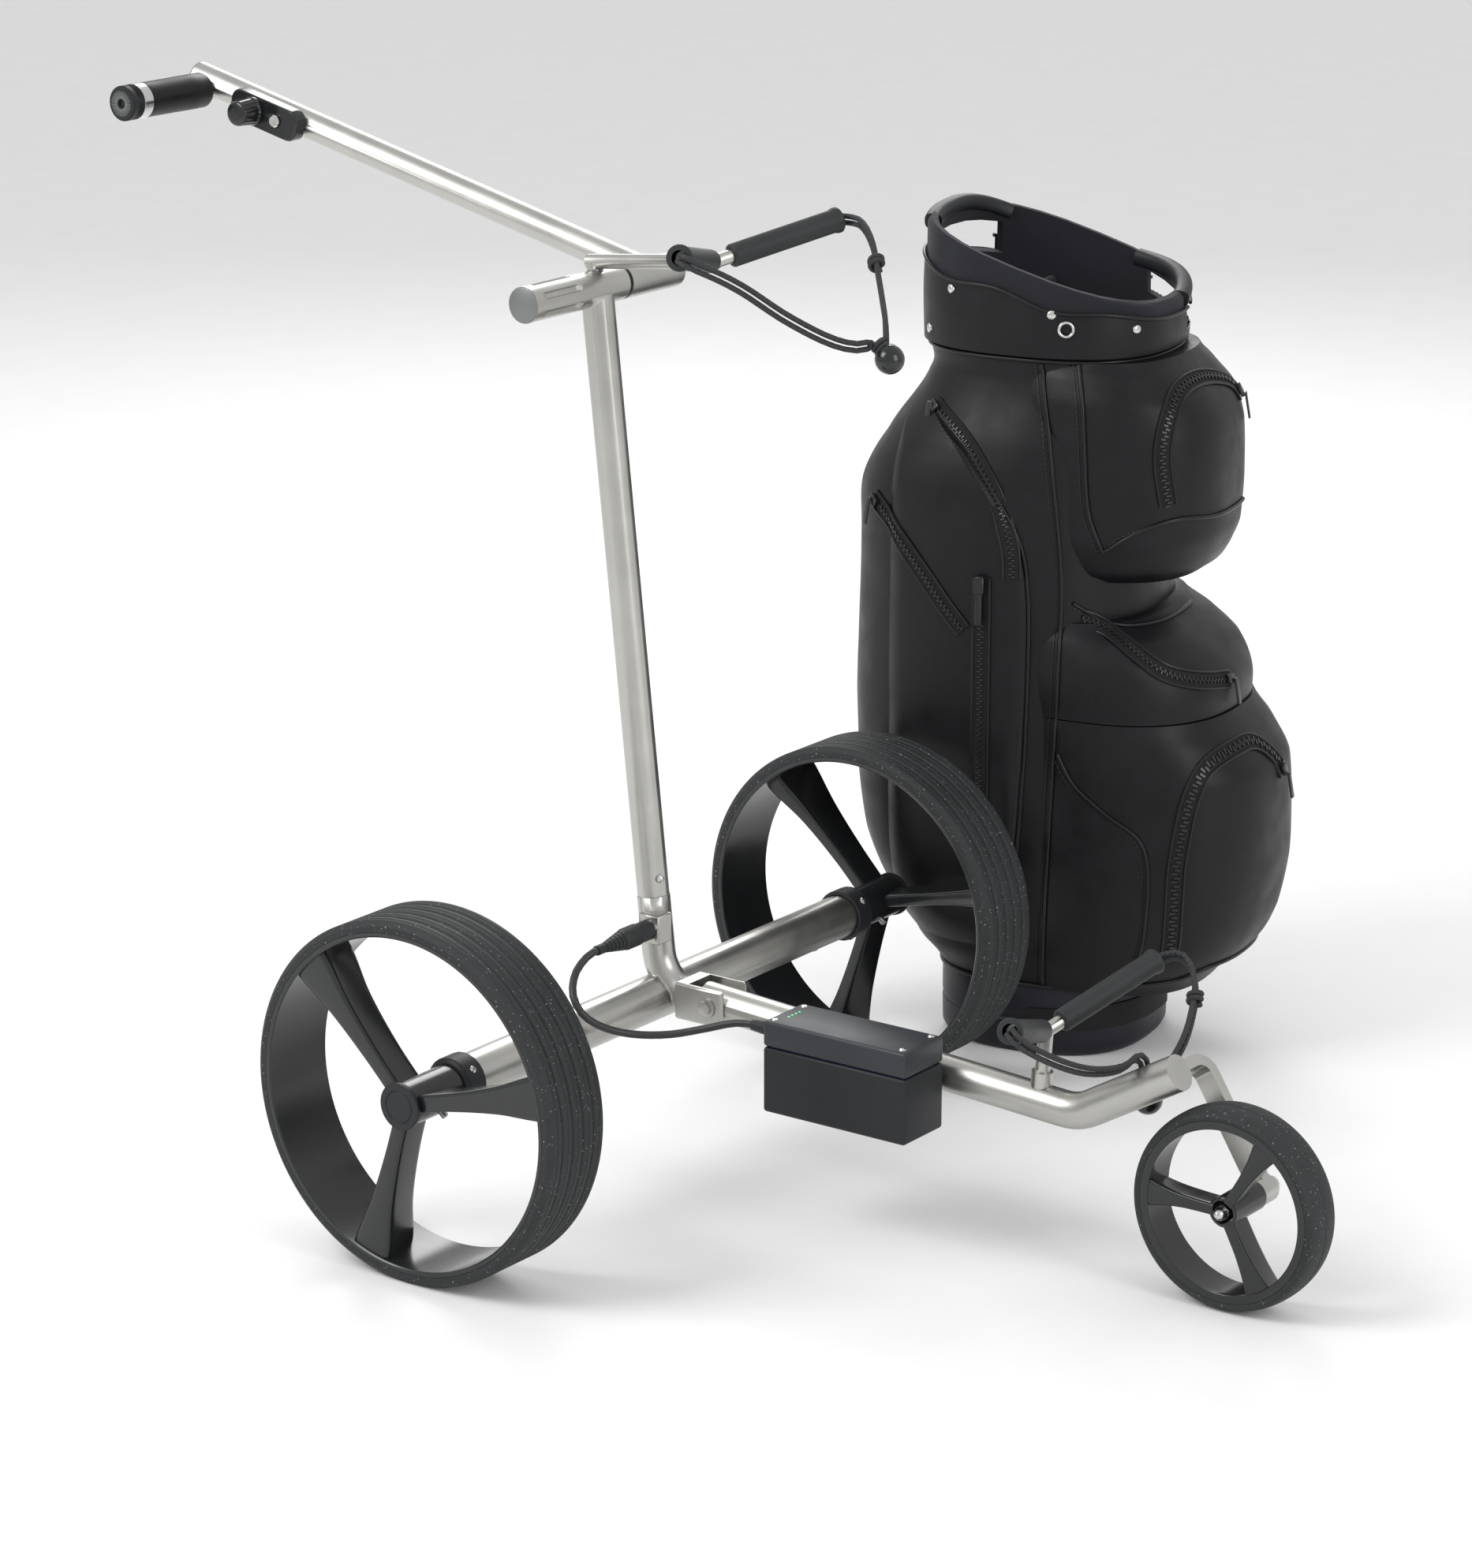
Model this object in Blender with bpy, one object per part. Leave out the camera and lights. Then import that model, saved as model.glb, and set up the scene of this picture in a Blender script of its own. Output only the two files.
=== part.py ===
"""Electric golf trolley with a cart bag standing beside it, in metres, +Z up.

The trolley stands on its three wheels, +Y forward to the front wheel and +X to its right.
Everything is placed from the trolley's datum, the floor below the middle of the rear axle.
The bag has a datum of its own, the floor below the middle of its base.
"""
import math

import bmesh
import bpy
from mathutils import Matrix, Vector

# The whole object, so that the middle of its bounding box stands over the origin
DATUM = Vector((0.1472, -0.0367, 0))
GAP = 0.0003

# Rear wheels and axle
WHEEL_RADIUS = 0.150
WHEEL_WIDTH = 0.0687
TRACK = 0.6094
TYRE_DEPTH = 0.0092
TYRE_GROOVE = 0.0016
TYRE_RIBS = 5
DRUM_WALL = 0.0040
HUB_RADIUS = 0.0178
HUB_CAP_RADIUS = 0.0194
SPOKE_ANGLES = (13.9, 133.9, 253.9)
AXLE_RADIUS = 0.0190
AXLE_WALL = 0.0016
AXLE_HALF = 0.2680
SHAFT_RADIUS = 0.0042
COLLAR_RADIUS = 0.0225
RELEASE_PIN_RADIUS = 0.0030
RELEASE_TRAVEL = 0.003

# Front wheel
FRONT_RADIUS = 0.0828
FRONT_WIDTH = 0.0372
FRONT_MIDDLE = -0.0106
FRONT_AXLE_Y = 0.5503
FRONT_TYRE_DEPTH = 0.0083
FRONT_RIM_WALL = 0.0068
FRONT_HUB_RADIUS = 0.0125
FRONT_SPOKE_ANGLES = (58.5, 178.5, 298.5)

# Frame tubes
MAST_RADIUS = 0.0135
MAST_WALL = 0.0016
ELBOW_RADIUS = 0.0140
KNUCKLE_RADIUS = 0.0145
HANDLE_RADIUS = 0.0125
HANDLE_WALL = 0.0014
FRONT_TUBE_RADIUS = 0.0150
SEAM = Vector((0, -0.0077, 0.2361))
KNUCKLE = Vector((0, -0.0623, 0.7418))
HANDLE_X = -0.0720
HANDLE_LENGTH = 0.507
HANDLE_RISE = math.radians(13.9)
FOLD = Vector((0, 0.0605, 0.1545))
BEND = Vector((0, 0.4135, 0.1335))
TUBE_END = Vector((0, 0.5045, 0.1868))
SPIGOT_HEIGHT = 0.045
BUTTON_HEIGHT = 0.0155
BUTTON_TRAVEL = 0.003
BOLT_RADIUS = 0.0040
MAST_BUTTON_RADIUS = 0.0035

# Bag brackets: a V of two rubber-sleeved arms
ARM_CORE = 0.0058
SLEEVE_RADIUS = 0.0095
SLEEVE_LIP = 0.0106
ARM_REACH = 0.119
ARM_SPREAD = math.radians(64.5)
UPPER_VERTEX = Vector((0, 0.0561, 0.7756))
UPPER_OPEN = math.radians(27.5)
LOWER_VERTEX = Vector((0, 0.3812, 0.1955))
LOWER_OPEN = math.radians(46.5)
POST_RADIUS = 0.0062
CORD_RADIUS = 0.00225
STRAND_GAP = 0.0056
BALL_RADIUS = 0.0118

# Grip and controls
GRIP_RADIUS = 0.0152
GRIP_BORE = 0.0102
GRIP_START = -0.0575
GRIP_END = 0.0370
GRIP_DROP = 0.006
GRIP_STATION = 0.492
HOUSING_LENGTH = 0.076
HOUSING_HEIGHT = 0.0270
HOUSING_DEPTH = 0.0125
HOUSING_STATION = 0.410
SPEED_KNOB_STATION = 0.4215
SPEED_KNOB_RADIUS = 0.0125
POWER_STATION = 0.3950
POWER_RADIUS = 0.0055

# Battery
BATTERY_LOW = Vector((0.0180, 0.1575, 0.1009))
BATTERY_HIGH = Vector((0.0736, 0.2968, 0.1790))
BATTERY_SEAM = 0.1568
BATTERY_WALL = 0.003
LEAD_RADIUS = 0.0032
GLAND = Vector((0.0550, 0.1575, 0.1655))
PLUG_START = Vector((0.0190, 0.0009, 0.2115))

# Bag, from its own datum: side is its right, front is where its pockets are
BAG_PLACE = Vector((-0.5020, 0.0720, 0))
BAG_TURN = math.radians(10)
BAG_BASE_HALF = 0.098
BAG_BASE_TOP = 0.065
BAG_BODY_TOP = 0.637
BAG_SIDE = 0.1270
BAG_WALL = 0.006
BAG_POWER = 2.5
COLLAR_SIDE = 0.1027
COLLAR_FRONT = 0.1119
COLLAR_MIDDLE = -0.0105
COLLAR_BACK_TOP = 0.746
COLLAR_FRONT_TOP = 0.680
POCKET_SPLIT = 0.3215
SIDE_PAD = 0.008

ROUND = 24
X = Vector((1, 0, 0))
Y = Vector((0, 1, 0))
Z = Vector((0, 0, 1))


# Scene, materials and empties
def clear_scene():
    for obj in list(bpy.data.objects):
        bpy.data.objects.remove(obj, do_unlink=True)


def material(name, colour, roughness, metallic=0.0):
    made = bpy.data.materials.new(name)
    made.use_nodes = True
    shader = made.node_tree.nodes["Principled BSDF"]
    shader.inputs["Base Color"].default_value = (*colour, 1)
    shader.inputs["Roughness"].default_value = roughness
    shader.inputs["Metallic"].default_value = metallic
    made.diffuse_color = (*colour, 1)
    return made


def empty(name, place, parent=None, turn=0.0):
    """An empty at a place given from the trolley's datum. It carries pieces that move together."""
    made = bpy.data.objects.new(name, None)
    bpy.context.scene.collection.objects.link(made)
    made.parent = parent
    made.location = Vector(place) - (Vector(parent["place"]) if parent else Vector())
    made.rotation_euler.z = turn
    made["place"] = place if parent else (0, 0, 0)
    return made


def add(name, bm, finish, carrier, angle=35):
    """A bmesh in datum coordinates becomes an object that its carrier empty holds."""
    mesh = bpy.data.meshes.new(name)
    bmesh.ops.remove_doubles(bm, verts=bm.verts, dist=1e-6)
    bmesh.ops.recalc_face_normals(bm, faces=bm.faces)
    bmesh.ops.translate(bm, verts=bm.verts, vec=-Vector(carrier["place"]))
    bm.to_mesh(mesh)
    bm.free()
    mesh.shade_smooth()
    mesh.set_sharp_from_angle(angle=math.radians(angle))
    made = bpy.data.objects.new(name, mesh)
    bpy.context.scene.collection.objects.link(made)
    made.parent = carrier
    if finish:
        mesh.materials.append(finish)
    return made


def helper(bm, carrier):
    """A cutter or a piece to join: it isn't a piece of its own."""
    made = add("helper", bm, None, carrier)
    made.hide_render = True
    made.display_type = "WIRE"
    return made


def combine(target, bm, carrier, operation="UNION"):
    boolean = target.modifiers.new(operation.lower(), "BOOLEAN")
    boolean.operation = operation
    boolean.solver = "EXACT"
    boolean.object = helper(bm, carrier)


# Shapes
def along(start, direction):
    turn = Z.rotation_difference(Vector(direction).normalized())
    return Matrix.Translation(start) @ turn.to_matrix().to_4x4()


def turned(start, direction, profile, sides=ROUND):
    """A lathe-turned body. The profile is (distance along the axis, radius) pairs round the section."""
    bm = bmesh.new()
    rim = [bm.verts.new((radius, 0, height)) for height, radius in profile]
    edges = [bm.edges.new(pair) for pair in zip(rim, rim[1:])]
    if profile[0][1] > 0:
        edges.append(bm.edges.new((rim[-1], rim[0])))
    bmesh.ops.spin(
        bm, geom=rim + edges, cent=(0, 0, 0), axis=(0, 0, 1), angle=math.tau, steps=sides, use_merge=True
    )
    bmesh.ops.remove_doubles(bm, verts=bm.verts, dist=1e-6)
    bmesh.ops.recalc_face_normals(bm, faces=bm.faces)
    bmesh.ops.transform(bm, matrix=along(start, direction), verts=bm.verts)
    return bm


def rod(start, end, radius, sides=ROUND):
    length = (Vector(end) - Vector(start)).length
    return turned(
        start, Vector(end) - Vector(start), [(0, 0), (0, radius), (length, radius), (length, 0)], sides
    )


def block(low, high, bevel=0.0, segments=2):
    bm = bmesh.new()
    bmesh.ops.create_cube(bm, size=1)
    bmesh.ops.scale(bm, vec=Vector(high) - Vector(low), verts=bm.verts)
    bmesh.ops.translate(bm, vec=(Vector(low) + Vector(high)) / 2, verts=bm.verts)
    if bevel:
        bmesh.ops.bevel(
            bm, geom=bm.edges[:], offset=bevel, segments=segments, profile=0.5, affect="EDGES", material=-1
        )
    return bm


def lofted(rings):
    """A closed body through rings of equally many points, with a face on each end."""
    bm = bmesh.new()
    made = [[bm.verts.new(point) for point in ring] for ring in rings]
    count = len(made[0])
    for low, high in zip(made, made[1:]):
        for i in range(count):
            j = (i + 1) % count
            bm.faces.new((low[i], low[j], high[j], high[i]))
    bm.faces.new(list(reversed(made[0])))
    bm.faces.new(made[-1])
    bmesh.ops.recalc_face_normals(bm, faces=bm.faces)
    return bm


def rounded(corners, radius, steps=6):
    """The corners of a path, each rounded to an arc of the radius."""
    points = [Vector(corners[0])]
    for before, corner, after in zip(corners, corners[1:], corners[2:]):
        back = (Vector(before) - Vector(corner)).normalized()
        ahead = (Vector(after) - Vector(corner)).normalized()
        half = back.angle(ahead) / 2
        centre = Vector(corner) + (back + ahead).normalized() * radius / math.sin(half)
        first = Vector(corner) + back * radius / math.tan(half)
        normal = back.cross(ahead).normalized()
        sweep = math.pi - 2 * half
        for step in range(steps + 1):
            turn = Matrix.Rotation(-sweep * step / steps, 3, normal)
            points.append(centre + turn @ (first - centre))
    points.append(Vector(corners[-1]))
    return points


def swept(points, section, up):
    """A section of (across, up) pairs carried along a path without twisting."""
    points = [Vector(point) for point in points]
    rings = []
    up = Vector(up)
    for i, point in enumerate(points):
        tangent = (points[min(i + 1, len(points) - 1)] - points[max(i - 1, 0)]).normalized()
        up = (up - tangent * up.dot(tangent)).normalized()
        across = tangent.cross(up)
        rings.append([point + across * a + up * b for a, b in section])
    return lofted(rings)


def circle(radius, sides=ROUND):
    return [
        (
            radius * math.cos(math.tau * i / sides), radius * math.sin(math.tau * i / sides)
        ) for i in range(sides)
    ]


def smooth_route(route, count):
    """Evenly spaced points of a smooth curve through the route's own points."""
    ends = [2 * Vector(route[0]) - Vector(route[1])] + [Vector(p) for p in route]
    ends.append(2 * Vector(route[-1]) - Vector(route[-2]))
    fine = []
    for a, b, c, d in zip(ends, ends[1:], ends[2:], ends[3:]):
        for step in range(16):
            t = step / 16
            fine.append(
                0.5 * (
                    2 * b + (c - a) * t + (2 * a - 5 * b + 4 * c - d) * t**2 + (3 * b - a - 3 * c + d) * t**3
                )
            )
    fine.append(Vector(route[-1]))
    reach = [0.0]
    for a, b in zip(fine, fine[1:]):
        reach.append(reach[-1] + (b - a).length)
    points = []
    for i in range(count):
        want = reach[-1] * i / (count - 1)
        j = max(k for k in range(len(fine) - 1) if reach[k] <= want)
        part = (want - reach[j]) / (reach[j + 1] - reach[j])
        points.append(fine[j].lerp(fine[j + 1], part))
    return points


def doubled(route, gap, beside, count):
    """The two strands of a loop: out along the route, round its end and back beside itself."""
    middle = smooth_route(route, count)
    out, back = [], []
    for i, point in enumerate(middle):
        tangent = (middle[min(i + 1, count - 1)] - middle[max(i - 1, 0)]).normalized()
        side = (Vector(beside) - tangent * tangent.dot(Vector(beside))).normalized() * gap / 2
        out.append(point + side)
        back.append(point - side)
    tangent = (middle[-1] - middle[-2]).normalized()
    side = (out[-1] - back[-1]) / 2
    turn = [
        middle[-1] + side * math.cos(angle) + tangent * gap / 2 * math.sin(angle)
        for angle in (math.pi * step / 6 for step in range(1, 6))
    ]
    return out + turn + back[::-1]


def cord(name, points, radius, finish, carrier, resolution=2):
    curve = bpy.data.curves.new(name, "CURVE")
    curve.dimensions = "3D"
    curve.bevel_depth = radius
    curve.bevel_resolution = resolution
    curve.use_fill_caps = True
    spline = curve.splines.new("POLY")
    spline.points.add(len(points) - 1)
    for spot, point in zip(spline.points, points):
        spot.co = (*(Vector(point) - Vector(carrier["place"])), 1)
    made = bpy.data.objects.new(name, curve)
    bpy.context.scene.collection.objects.link(made)
    made.parent = carrier
    curve.materials.append(finish)
    return made


# Rear axle, elbow and motors
def on_mast(distance):
    """A point on the mast's axis, from the seam upwards."""
    return SEAM + (KNUCKLE - SEAM).normalized() * distance


def rear_chassis(steel, carrier):
    bore = AXLE_RADIUS - AXLE_WALL
    axle = rod((-AXLE_HALF, 0, WHEEL_RADIUS), (AXLE_HALF, 0, WHEEL_RADIUS), AXLE_RADIUS)
    chassis = add("rear_chassis", axle, steel, carrier)
    lean = (KNUCKLE - SEAM).normalized()
    corner = SEAM - lean * 0.080
    end = FOLD - Y * 0.0215
    path = rounded([SEAM - lean * GAP, corner, end], 0.036)
    combine(chassis, swept(path, circle(ELBOW_RADIUS, 20), X), carrier)
    cheek = FRONT_TUBE_RADIUS + GAP + 0.003
    clevis = block(
        FOLD - Vector((cheek, 0.034, 0.0160)), FOLD + Vector((cheek, 0.0155, 0.0160)), bevel=0.002, segments=1
    )
    combine(chassis, clevis, carrier)
    boss = block(
        PLUG_START - Vector((0.0190, 0.0105, 0.0125)), PLUG_START + Vector((0.0000, 0.0105, 0.0125)), 0.001,
        1
    )
    combine(chassis, boss, carrier)
    spigot = rod(on_mast(-0.012), on_mast(SPIGOT_HEIGHT), MAST_RADIUS - MAST_WALL - GAP)
    combine(chassis, spigot, carrier)
    place, out = mast_button_axis()
    depth = MAST_RADIUS - MAST_WALL - BUTTON_TRAVEL - 0.001
    pocket = rod(place + out * depth, place + out * 0.02, MAST_BUTTON_RADIUS + GAP, 12)
    combine(chassis, pocket, carrier, "DIFFERENCE")
    # The slot that the front tube folds in, the bolt's holes, the motor bore and the socket's seat
    slot = FRONT_TUBE_RADIUS + GAP
    combine(
        chassis,
        block(FOLD - Vector((slot, 0.0208, 0.03)), FOLD + Vector((slot, 0.03, 0.03))),
        carrier,
        "DIFFERENCE",
    )
    combine(chassis, rod(FOLD - X * 0.04, FOLD + X * 0.04, BOLT_RADIUS + GAP, 16), carrier, "DIFFERENCE")
    mouth = Vector((AXLE_HALF + 0.01, 0, 0))
    low = Vector((0, 0, WHEEL_RADIUS))
    combine(chassis, rod(low - mouth, low + mouth, bore, 20), carrier, "DIFFERENCE")
    seat = rod(PLUG_START + X * 0.01, PLUG_START - X * 0.0130, 0.0085 + GAP, 16)
    combine(chassis, seat, carrier, "DIFFERENCE")
    return chassis


def gear_motor(name, side, steel, carrier):
    """Motor and planetary gearbox in one barrel, inside the axle tube."""
    barrel = AXLE_RADIUS - AXLE_WALL - GAP
    start = Vector((side * 0.085, 0, WHEEL_RADIUS))
    mouth = SHAFT_RADIUS + GAP
    length = AXLE_HALF - 0.085 - 0.004
    profile = [
        (0, 0), (0, barrel), (0.078, barrel), (0.079, barrel - 0.001), (0.082, barrel - 0.001),
        (0.083, barrel), (length, barrel), (length, mouth), (length - 0.03, mouth), (length - 0.03, 0),
    ]
    return add(name, turned(start, X * side, profile, 20), steel, carrier)


def axle_collar(name, side, plastic, carrier):
    """The black end collar that closes the axle tube and carries the shaft's outer bearing."""
    start = Vector((side * (AXLE_HALF - 0.008), 0, WHEEL_RADIUS))
    wide, bore = AXLE_RADIUS + GAP, SHAFT_RADIUS + GAP
    profile = [
        (0, wide), (0, COLLAR_RADIUS), (0.0185, COLLAR_RADIUS), (0.0215, COLLAR_RADIUS - 0.003),
        (0.0215, bore), (0.008 + GAP, bore), (0.008 + GAP, wide),
    ]
    return add(name, turned(start, X * side, profile), plastic, carrier)


def drive_shaft(name, side, steel, carrier):
    start = Vector((side * (AXLE_HALF - 0.030), 0, WHEEL_RADIUS))
    length = TRACK / 2 + 0.020 - (AXLE_HALF - 0.030)
    r = SHAFT_RADIUS
    profile = [(0, 0), (0, r), (length - 0.001, r), (length, r - 0.001), (length, 0)]
    shaft = add(name, turned(start, X * side, profile, 16), steel, carrier)
    return shaft


# Wheels
def ribbed_profile(half, deep, radius, groove, ribs):
    """The section of a tyre whose tread stands in ribs."""
    inner = radius - deep
    profile = [(-half, inner), (-half, radius - 0.004)]
    pitch = 2 * (half - 0.002) / ribs
    for rib in range(ribs):
        low = -half + 0.002 + pitch * rib
        profile += [
            (low + pitch * 0.14, radius), (low + pitch * 0.86, radius), (low + pitch, radius - groove)
        ]
    profile[-1] = (half, radius - 0.004)
    profile.append((half, inner))
    return profile


def spoke(side, plane, angle, stations):
    """A tapered blade. Each station is radius, face width, back width and depth."""
    out = Vector((0, math.cos(math.radians(angle)), math.sin(math.radians(angle))))
    across = X.cross(out)
    rings = []
    for radius, face, back, depth in stations:
        middle = Vector(plane) + out * radius
        rings.append([
            middle + across * face / 2,
            middle - across * face / 2,
            middle - across * back / 2 - X * side * depth,
            middle + across * back / 2 - X * side * depth,
        ])
    return lofted(rings)


def rear_rim(name, side, plastic, carrier):
    outer = WHEEL_RADIUS - TYRE_DEPTH - GAP
    middle = Vector((side * TRACK / 2, 0, WHEEL_RADIUS))
    half = WHEEL_WIDTH / 2
    hub_in = AXLE_HALF + 0.0140
    hub_out = TRACK / 2 + half - 0.0015
    drum = turned(
        middle, X * side,
        [(-half, outer - DRUM_WALL), (-half, outer), (half, outer), (half, outer - DRUM_WALL)], 36,
    )
    rim = add(name, drum, plastic, carrier)
    hub = rod((side * hub_in, 0, WHEEL_RADIUS), (side * hub_out, 0, WHEEL_RADIUS), HUB_RADIUS)
    combine(rim, hub, carrier)
    face = middle + X * side * (half - 0.0025)
    stations = [
        (HUB_RADIUS - 0.005, 0.015, 0.011, 0.030),
        (0.050, 0.0165, 0.0105, 0.031),
        (0.095, 0.0245, 0.0125, 0.036),
        (outer - DRUM_WALL / 2, 0.0410, 0.0180, 0.046),
    ]
    for angle in SPOKE_ANGLES:
        combine(rim, spoke(side, face, angle, stations), carrier)
    bore_end = TRACK / 2 + 0.020 + 0.003
    bore = rod(
        (side * (hub_in - 0.01), 0, WHEEL_RADIUS), (side * bore_end, 0, WHEEL_RADIUS), SHAFT_RADIUS + GAP,
        16
    )
    combine(rim, bore, carrier, "DIFFERENCE")
    start, out = release_pin_axis(side)
    combine(
        rim, rod(start - out * (RELEASE_TRAVEL + 0.001), start + out * 0.02, RELEASE_PIN_RADIUS + GAP, 12),
        carrier, "DIFFERENCE",
    )
    return rim


def release_pin_axis(side):
    """Where the quick-release pin starts inside the hub, and the way it points out."""
    out = Vector((0, 0.74, -0.67)).normalized()
    return Vector((side * 0.3050, 0, WHEEL_RADIUS)) + out * 0.0105, out


def rear_wheel(word, side, looks, carrier, pin_carrier):
    middle = Vector((side * TRACK / 2, 0, WHEEL_RADIUS))
    profile = ribbed_profile(WHEEL_WIDTH / 2, TYRE_DEPTH, WHEEL_RADIUS, TYRE_GROOVE, TYRE_RIBS)
    add(f"rear_tyre_{word}", turned(middle, X * side, profile, 36), looks["tyre"], carrier)
    rear_rim(f"rear_rim_{word}", side, looks["gloss"], carrier)
    seat = Vector((side * (TRACK / 2 + WHEEL_WIDTH / 2 - 0.0015 + GAP), 0, WHEEL_RADIUS))
    r = HUB_CAP_RADIUS
    cap = [
        (0, 0), (0, r - 0.0005), (0.0005, r), (0.003, r), (0.004, r - 0.001), (0.004, r - 0.005),
        (0.0032, r - 0.006), (0.0032, 0)
    ]
    add(f"hub_cap_{word}", turned(seat, X * side, cap), looks["plastic"], carrier)
    start, out = release_pin_axis(side)
    r = RELEASE_PIN_RADIUS
    pin = [(0, 0), (0, r), (0.0115, r), (0.0125, r - 0.001), (0.0125, 0)]
    add(f"release_pin_{word}", turned(start, out, pin, 12), looks["steel"], pin_carrier)


def front_wheel(looks, carrier):
    middle = Vector((FRONT_MIDDLE, FRONT_AXLE_Y, FRONT_RADIUS))
    half = FRONT_WIDTH / 2
    rim_out = FRONT_RADIUS - FRONT_TYRE_DEPTH - GAP
    rim_in = rim_out - FRONT_RIM_WALL
    r = FRONT_RADIUS
    inner = r - FRONT_TYRE_DEPTH
    tyre = [
        (-half, inner), (
            -half - 0.0010, inner + 0.003
        ), (-half + 0.002, r - 0.0028), (-half + 0.009, r - 0.0006), (0, r),
        (half - 0.009, r - 0.0006), (half - 0.002, r - 0.0028), (half + 0.0010, inner + 0.003), (half, inner),
    ]
    add("front_tyre", turned(middle, X, tyre, 36), looks["tyre"], carrier)
    ring = [
        (-half, rim_in + 0.003), (-half, rim_out), (half, rim_out), (half, rim_in), (half - 0.004, rim_in),
        (half - 0.006, rim_in + 0.003)
    ]
    rim = add("front_rim", turned(middle, X, ring, 36), looks["gloss"], carrier)
    hub_near, hub_far = FRONT_MIDDLE + half - 0.011, FRONT_MIDDLE - half - 0.0120
    axle = Vector((0, FRONT_AXLE_Y, FRONT_RADIUS))
    combine(rim, rod(axle + X * hub_far, axle + X * hub_near, FRONT_HUB_RADIUS), carrier)
    stations = [
        (FRONT_HUB_RADIUS - 0.004, 0.010, 0.006, 0.026),
        (0.034, 0.0115, 0.007, 0.026),
        (0.052, 0.0165, 0.0085, 0.027),
        (rim_out - 0.002, 0.0265, 0.0120, 0.029),
    ]
    face = middle + X * (half - 0.0008)
    for angle in FRONT_SPOKE_ANGLES:
        combine(rim, spoke(1, face, angle, stations), carrier)
    trim = block(
        axle + Vector((hub_near, -FRONT_HUB_RADIUS, -FRONT_HUB_RADIUS)),
        axle + Vector((hub_near + 0.02, FRONT_HUB_RADIUS, FRONT_HUB_RADIUS)),
    )
    combine(rim, trim, carrier, "DIFFERENCE")
    combine(rim, rod(axle - X * 0.06, axle + X * 0.03, BOLT_RADIUS + GAP, 16), carrier, "DIFFERENCE")
    return hub_near, hub_far


# Front frame
def front_frame(looks, carrier, wheel_ends):
    steel = looks["steel"]
    lie = (BEND - FOLD).normalized()
    path = rounded([FOLD - lie * 0.0125, BEND, TUBE_END], 0.045)
    tube = add("front_tube", swept(path, circle(FRONT_TUBE_RADIUS, 20), X), steel, carrier)
    rise = (TUBE_END - BEND).normalized()
    inner = [p for p in path[1:-1]]
    cut = [FOLD + lie * 0.012] + inner + [TUBE_END - rise * 0.003]
    mouth = FOLD - lie * 0.03
    combine(tube, swept([mouth] + cut, circle(FRONT_TUBE_RADIUS - 0.0018, 20), X), carrier, "DIFFERENCE")
    combine(tube, rod(FOLD - X * 0.03, FOLD + X * 0.03, BOLT_RADIUS + GAP, 16), carrier, "DIFFERENCE")
    cheek = FRONT_TUBE_RADIUS + GAP + 0.003
    r = BOLT_RADIUS
    head = cheek + GAP
    bolt = [
        (-head - 0.0030, 0), (-head - 0.0030, 0.0075), (-head, 0.0075), (-head, r), (head, r), (head, 0.0085),
        (head + 0.0012, 0.0085), (head + 0.0012, 0.0065), (head + 0.0040, 0.0055), (head + 0.0040, 0),
    ]
    add("fold_bolt", turned(FOLD, X, bolt, 16), steel, carrier)

    # The single-sided fork, from the far side of the tube's end down to the axle
    axle = Vector((0, FRONT_AXLE_Y, FRONT_RADIUS))
    bar_x = -0.0545
    start = TUBE_END - rise * 0.0235 - X * (FRONT_TUBE_RADIUS - 0.004)
    corner = Vector((bar_x, 0.4905, 0.1790))
    foot = axle + X * bar_x + Vector((0, -0.0021, 0.0034))
    half_wide, half_thick = 0.0085, 0.0050
    section = [
        (-half_wide, -half_thick), (half_wide, -half_thick), (half_wide, half_thick),
        (-half_wide, half_thick)
    ]
    fork = add("front_fork", swept(rounded([foot, corner, start], 0.014), section, X), steel, carrier)
    combine(fork, rod(BEND, TUBE_END + rise * 0.02, FRONT_TUBE_RADIUS + GAP), carrier, "DIFFERENCE")
    wheel_side = Vector((wheel_ends[1] - GAP, axle.y, axle.z))
    far_side = Vector((bar_x - half_thick - 0.002, axle.y, axle.z))
    combine(fork, rod(far_side, wheel_side, 0.0115), carrier)
    combine(
        fork, rod(far_side - X * 0.01, wheel_side + X * 0.01, BOLT_RADIUS + GAP, 16), carrier, "DIFFERENCE"
    )

    near = Vector((wheel_ends[0] + GAP, axle.y, axle.z))
    span = near.x - far_side.x + GAP
    bolt = [
        (-span - 0.0120, 0), (
            -span - 0.0100, 0.0055
        ), (-span - 0.0070, 0.0080), (-span, 0.0080), (-span, r), (0, r),
        (0, 0.0090), (0.0015, 0.0090), (0.0015, 0.0080), (0.0085, 0.0080), (0.0090, 0.0062), (0.0145, 0.0055),
        (0.0180, 0.0030), (0.0190, 0),
    ]
    add("front_axle", turned(near, X, bolt, 16), looks["chrome"], carrier)


def arm_ways(opening):
    """The two arms' directions, right then left, for a V that opens forward and up at an angle."""
    out = Vector((0, math.cos(opening), math.sin(opening)))
    return [X * side * math.sin(ARM_SPREAD) + out * math.cos(ARM_SPREAD) for side in (1, -1)]


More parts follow.
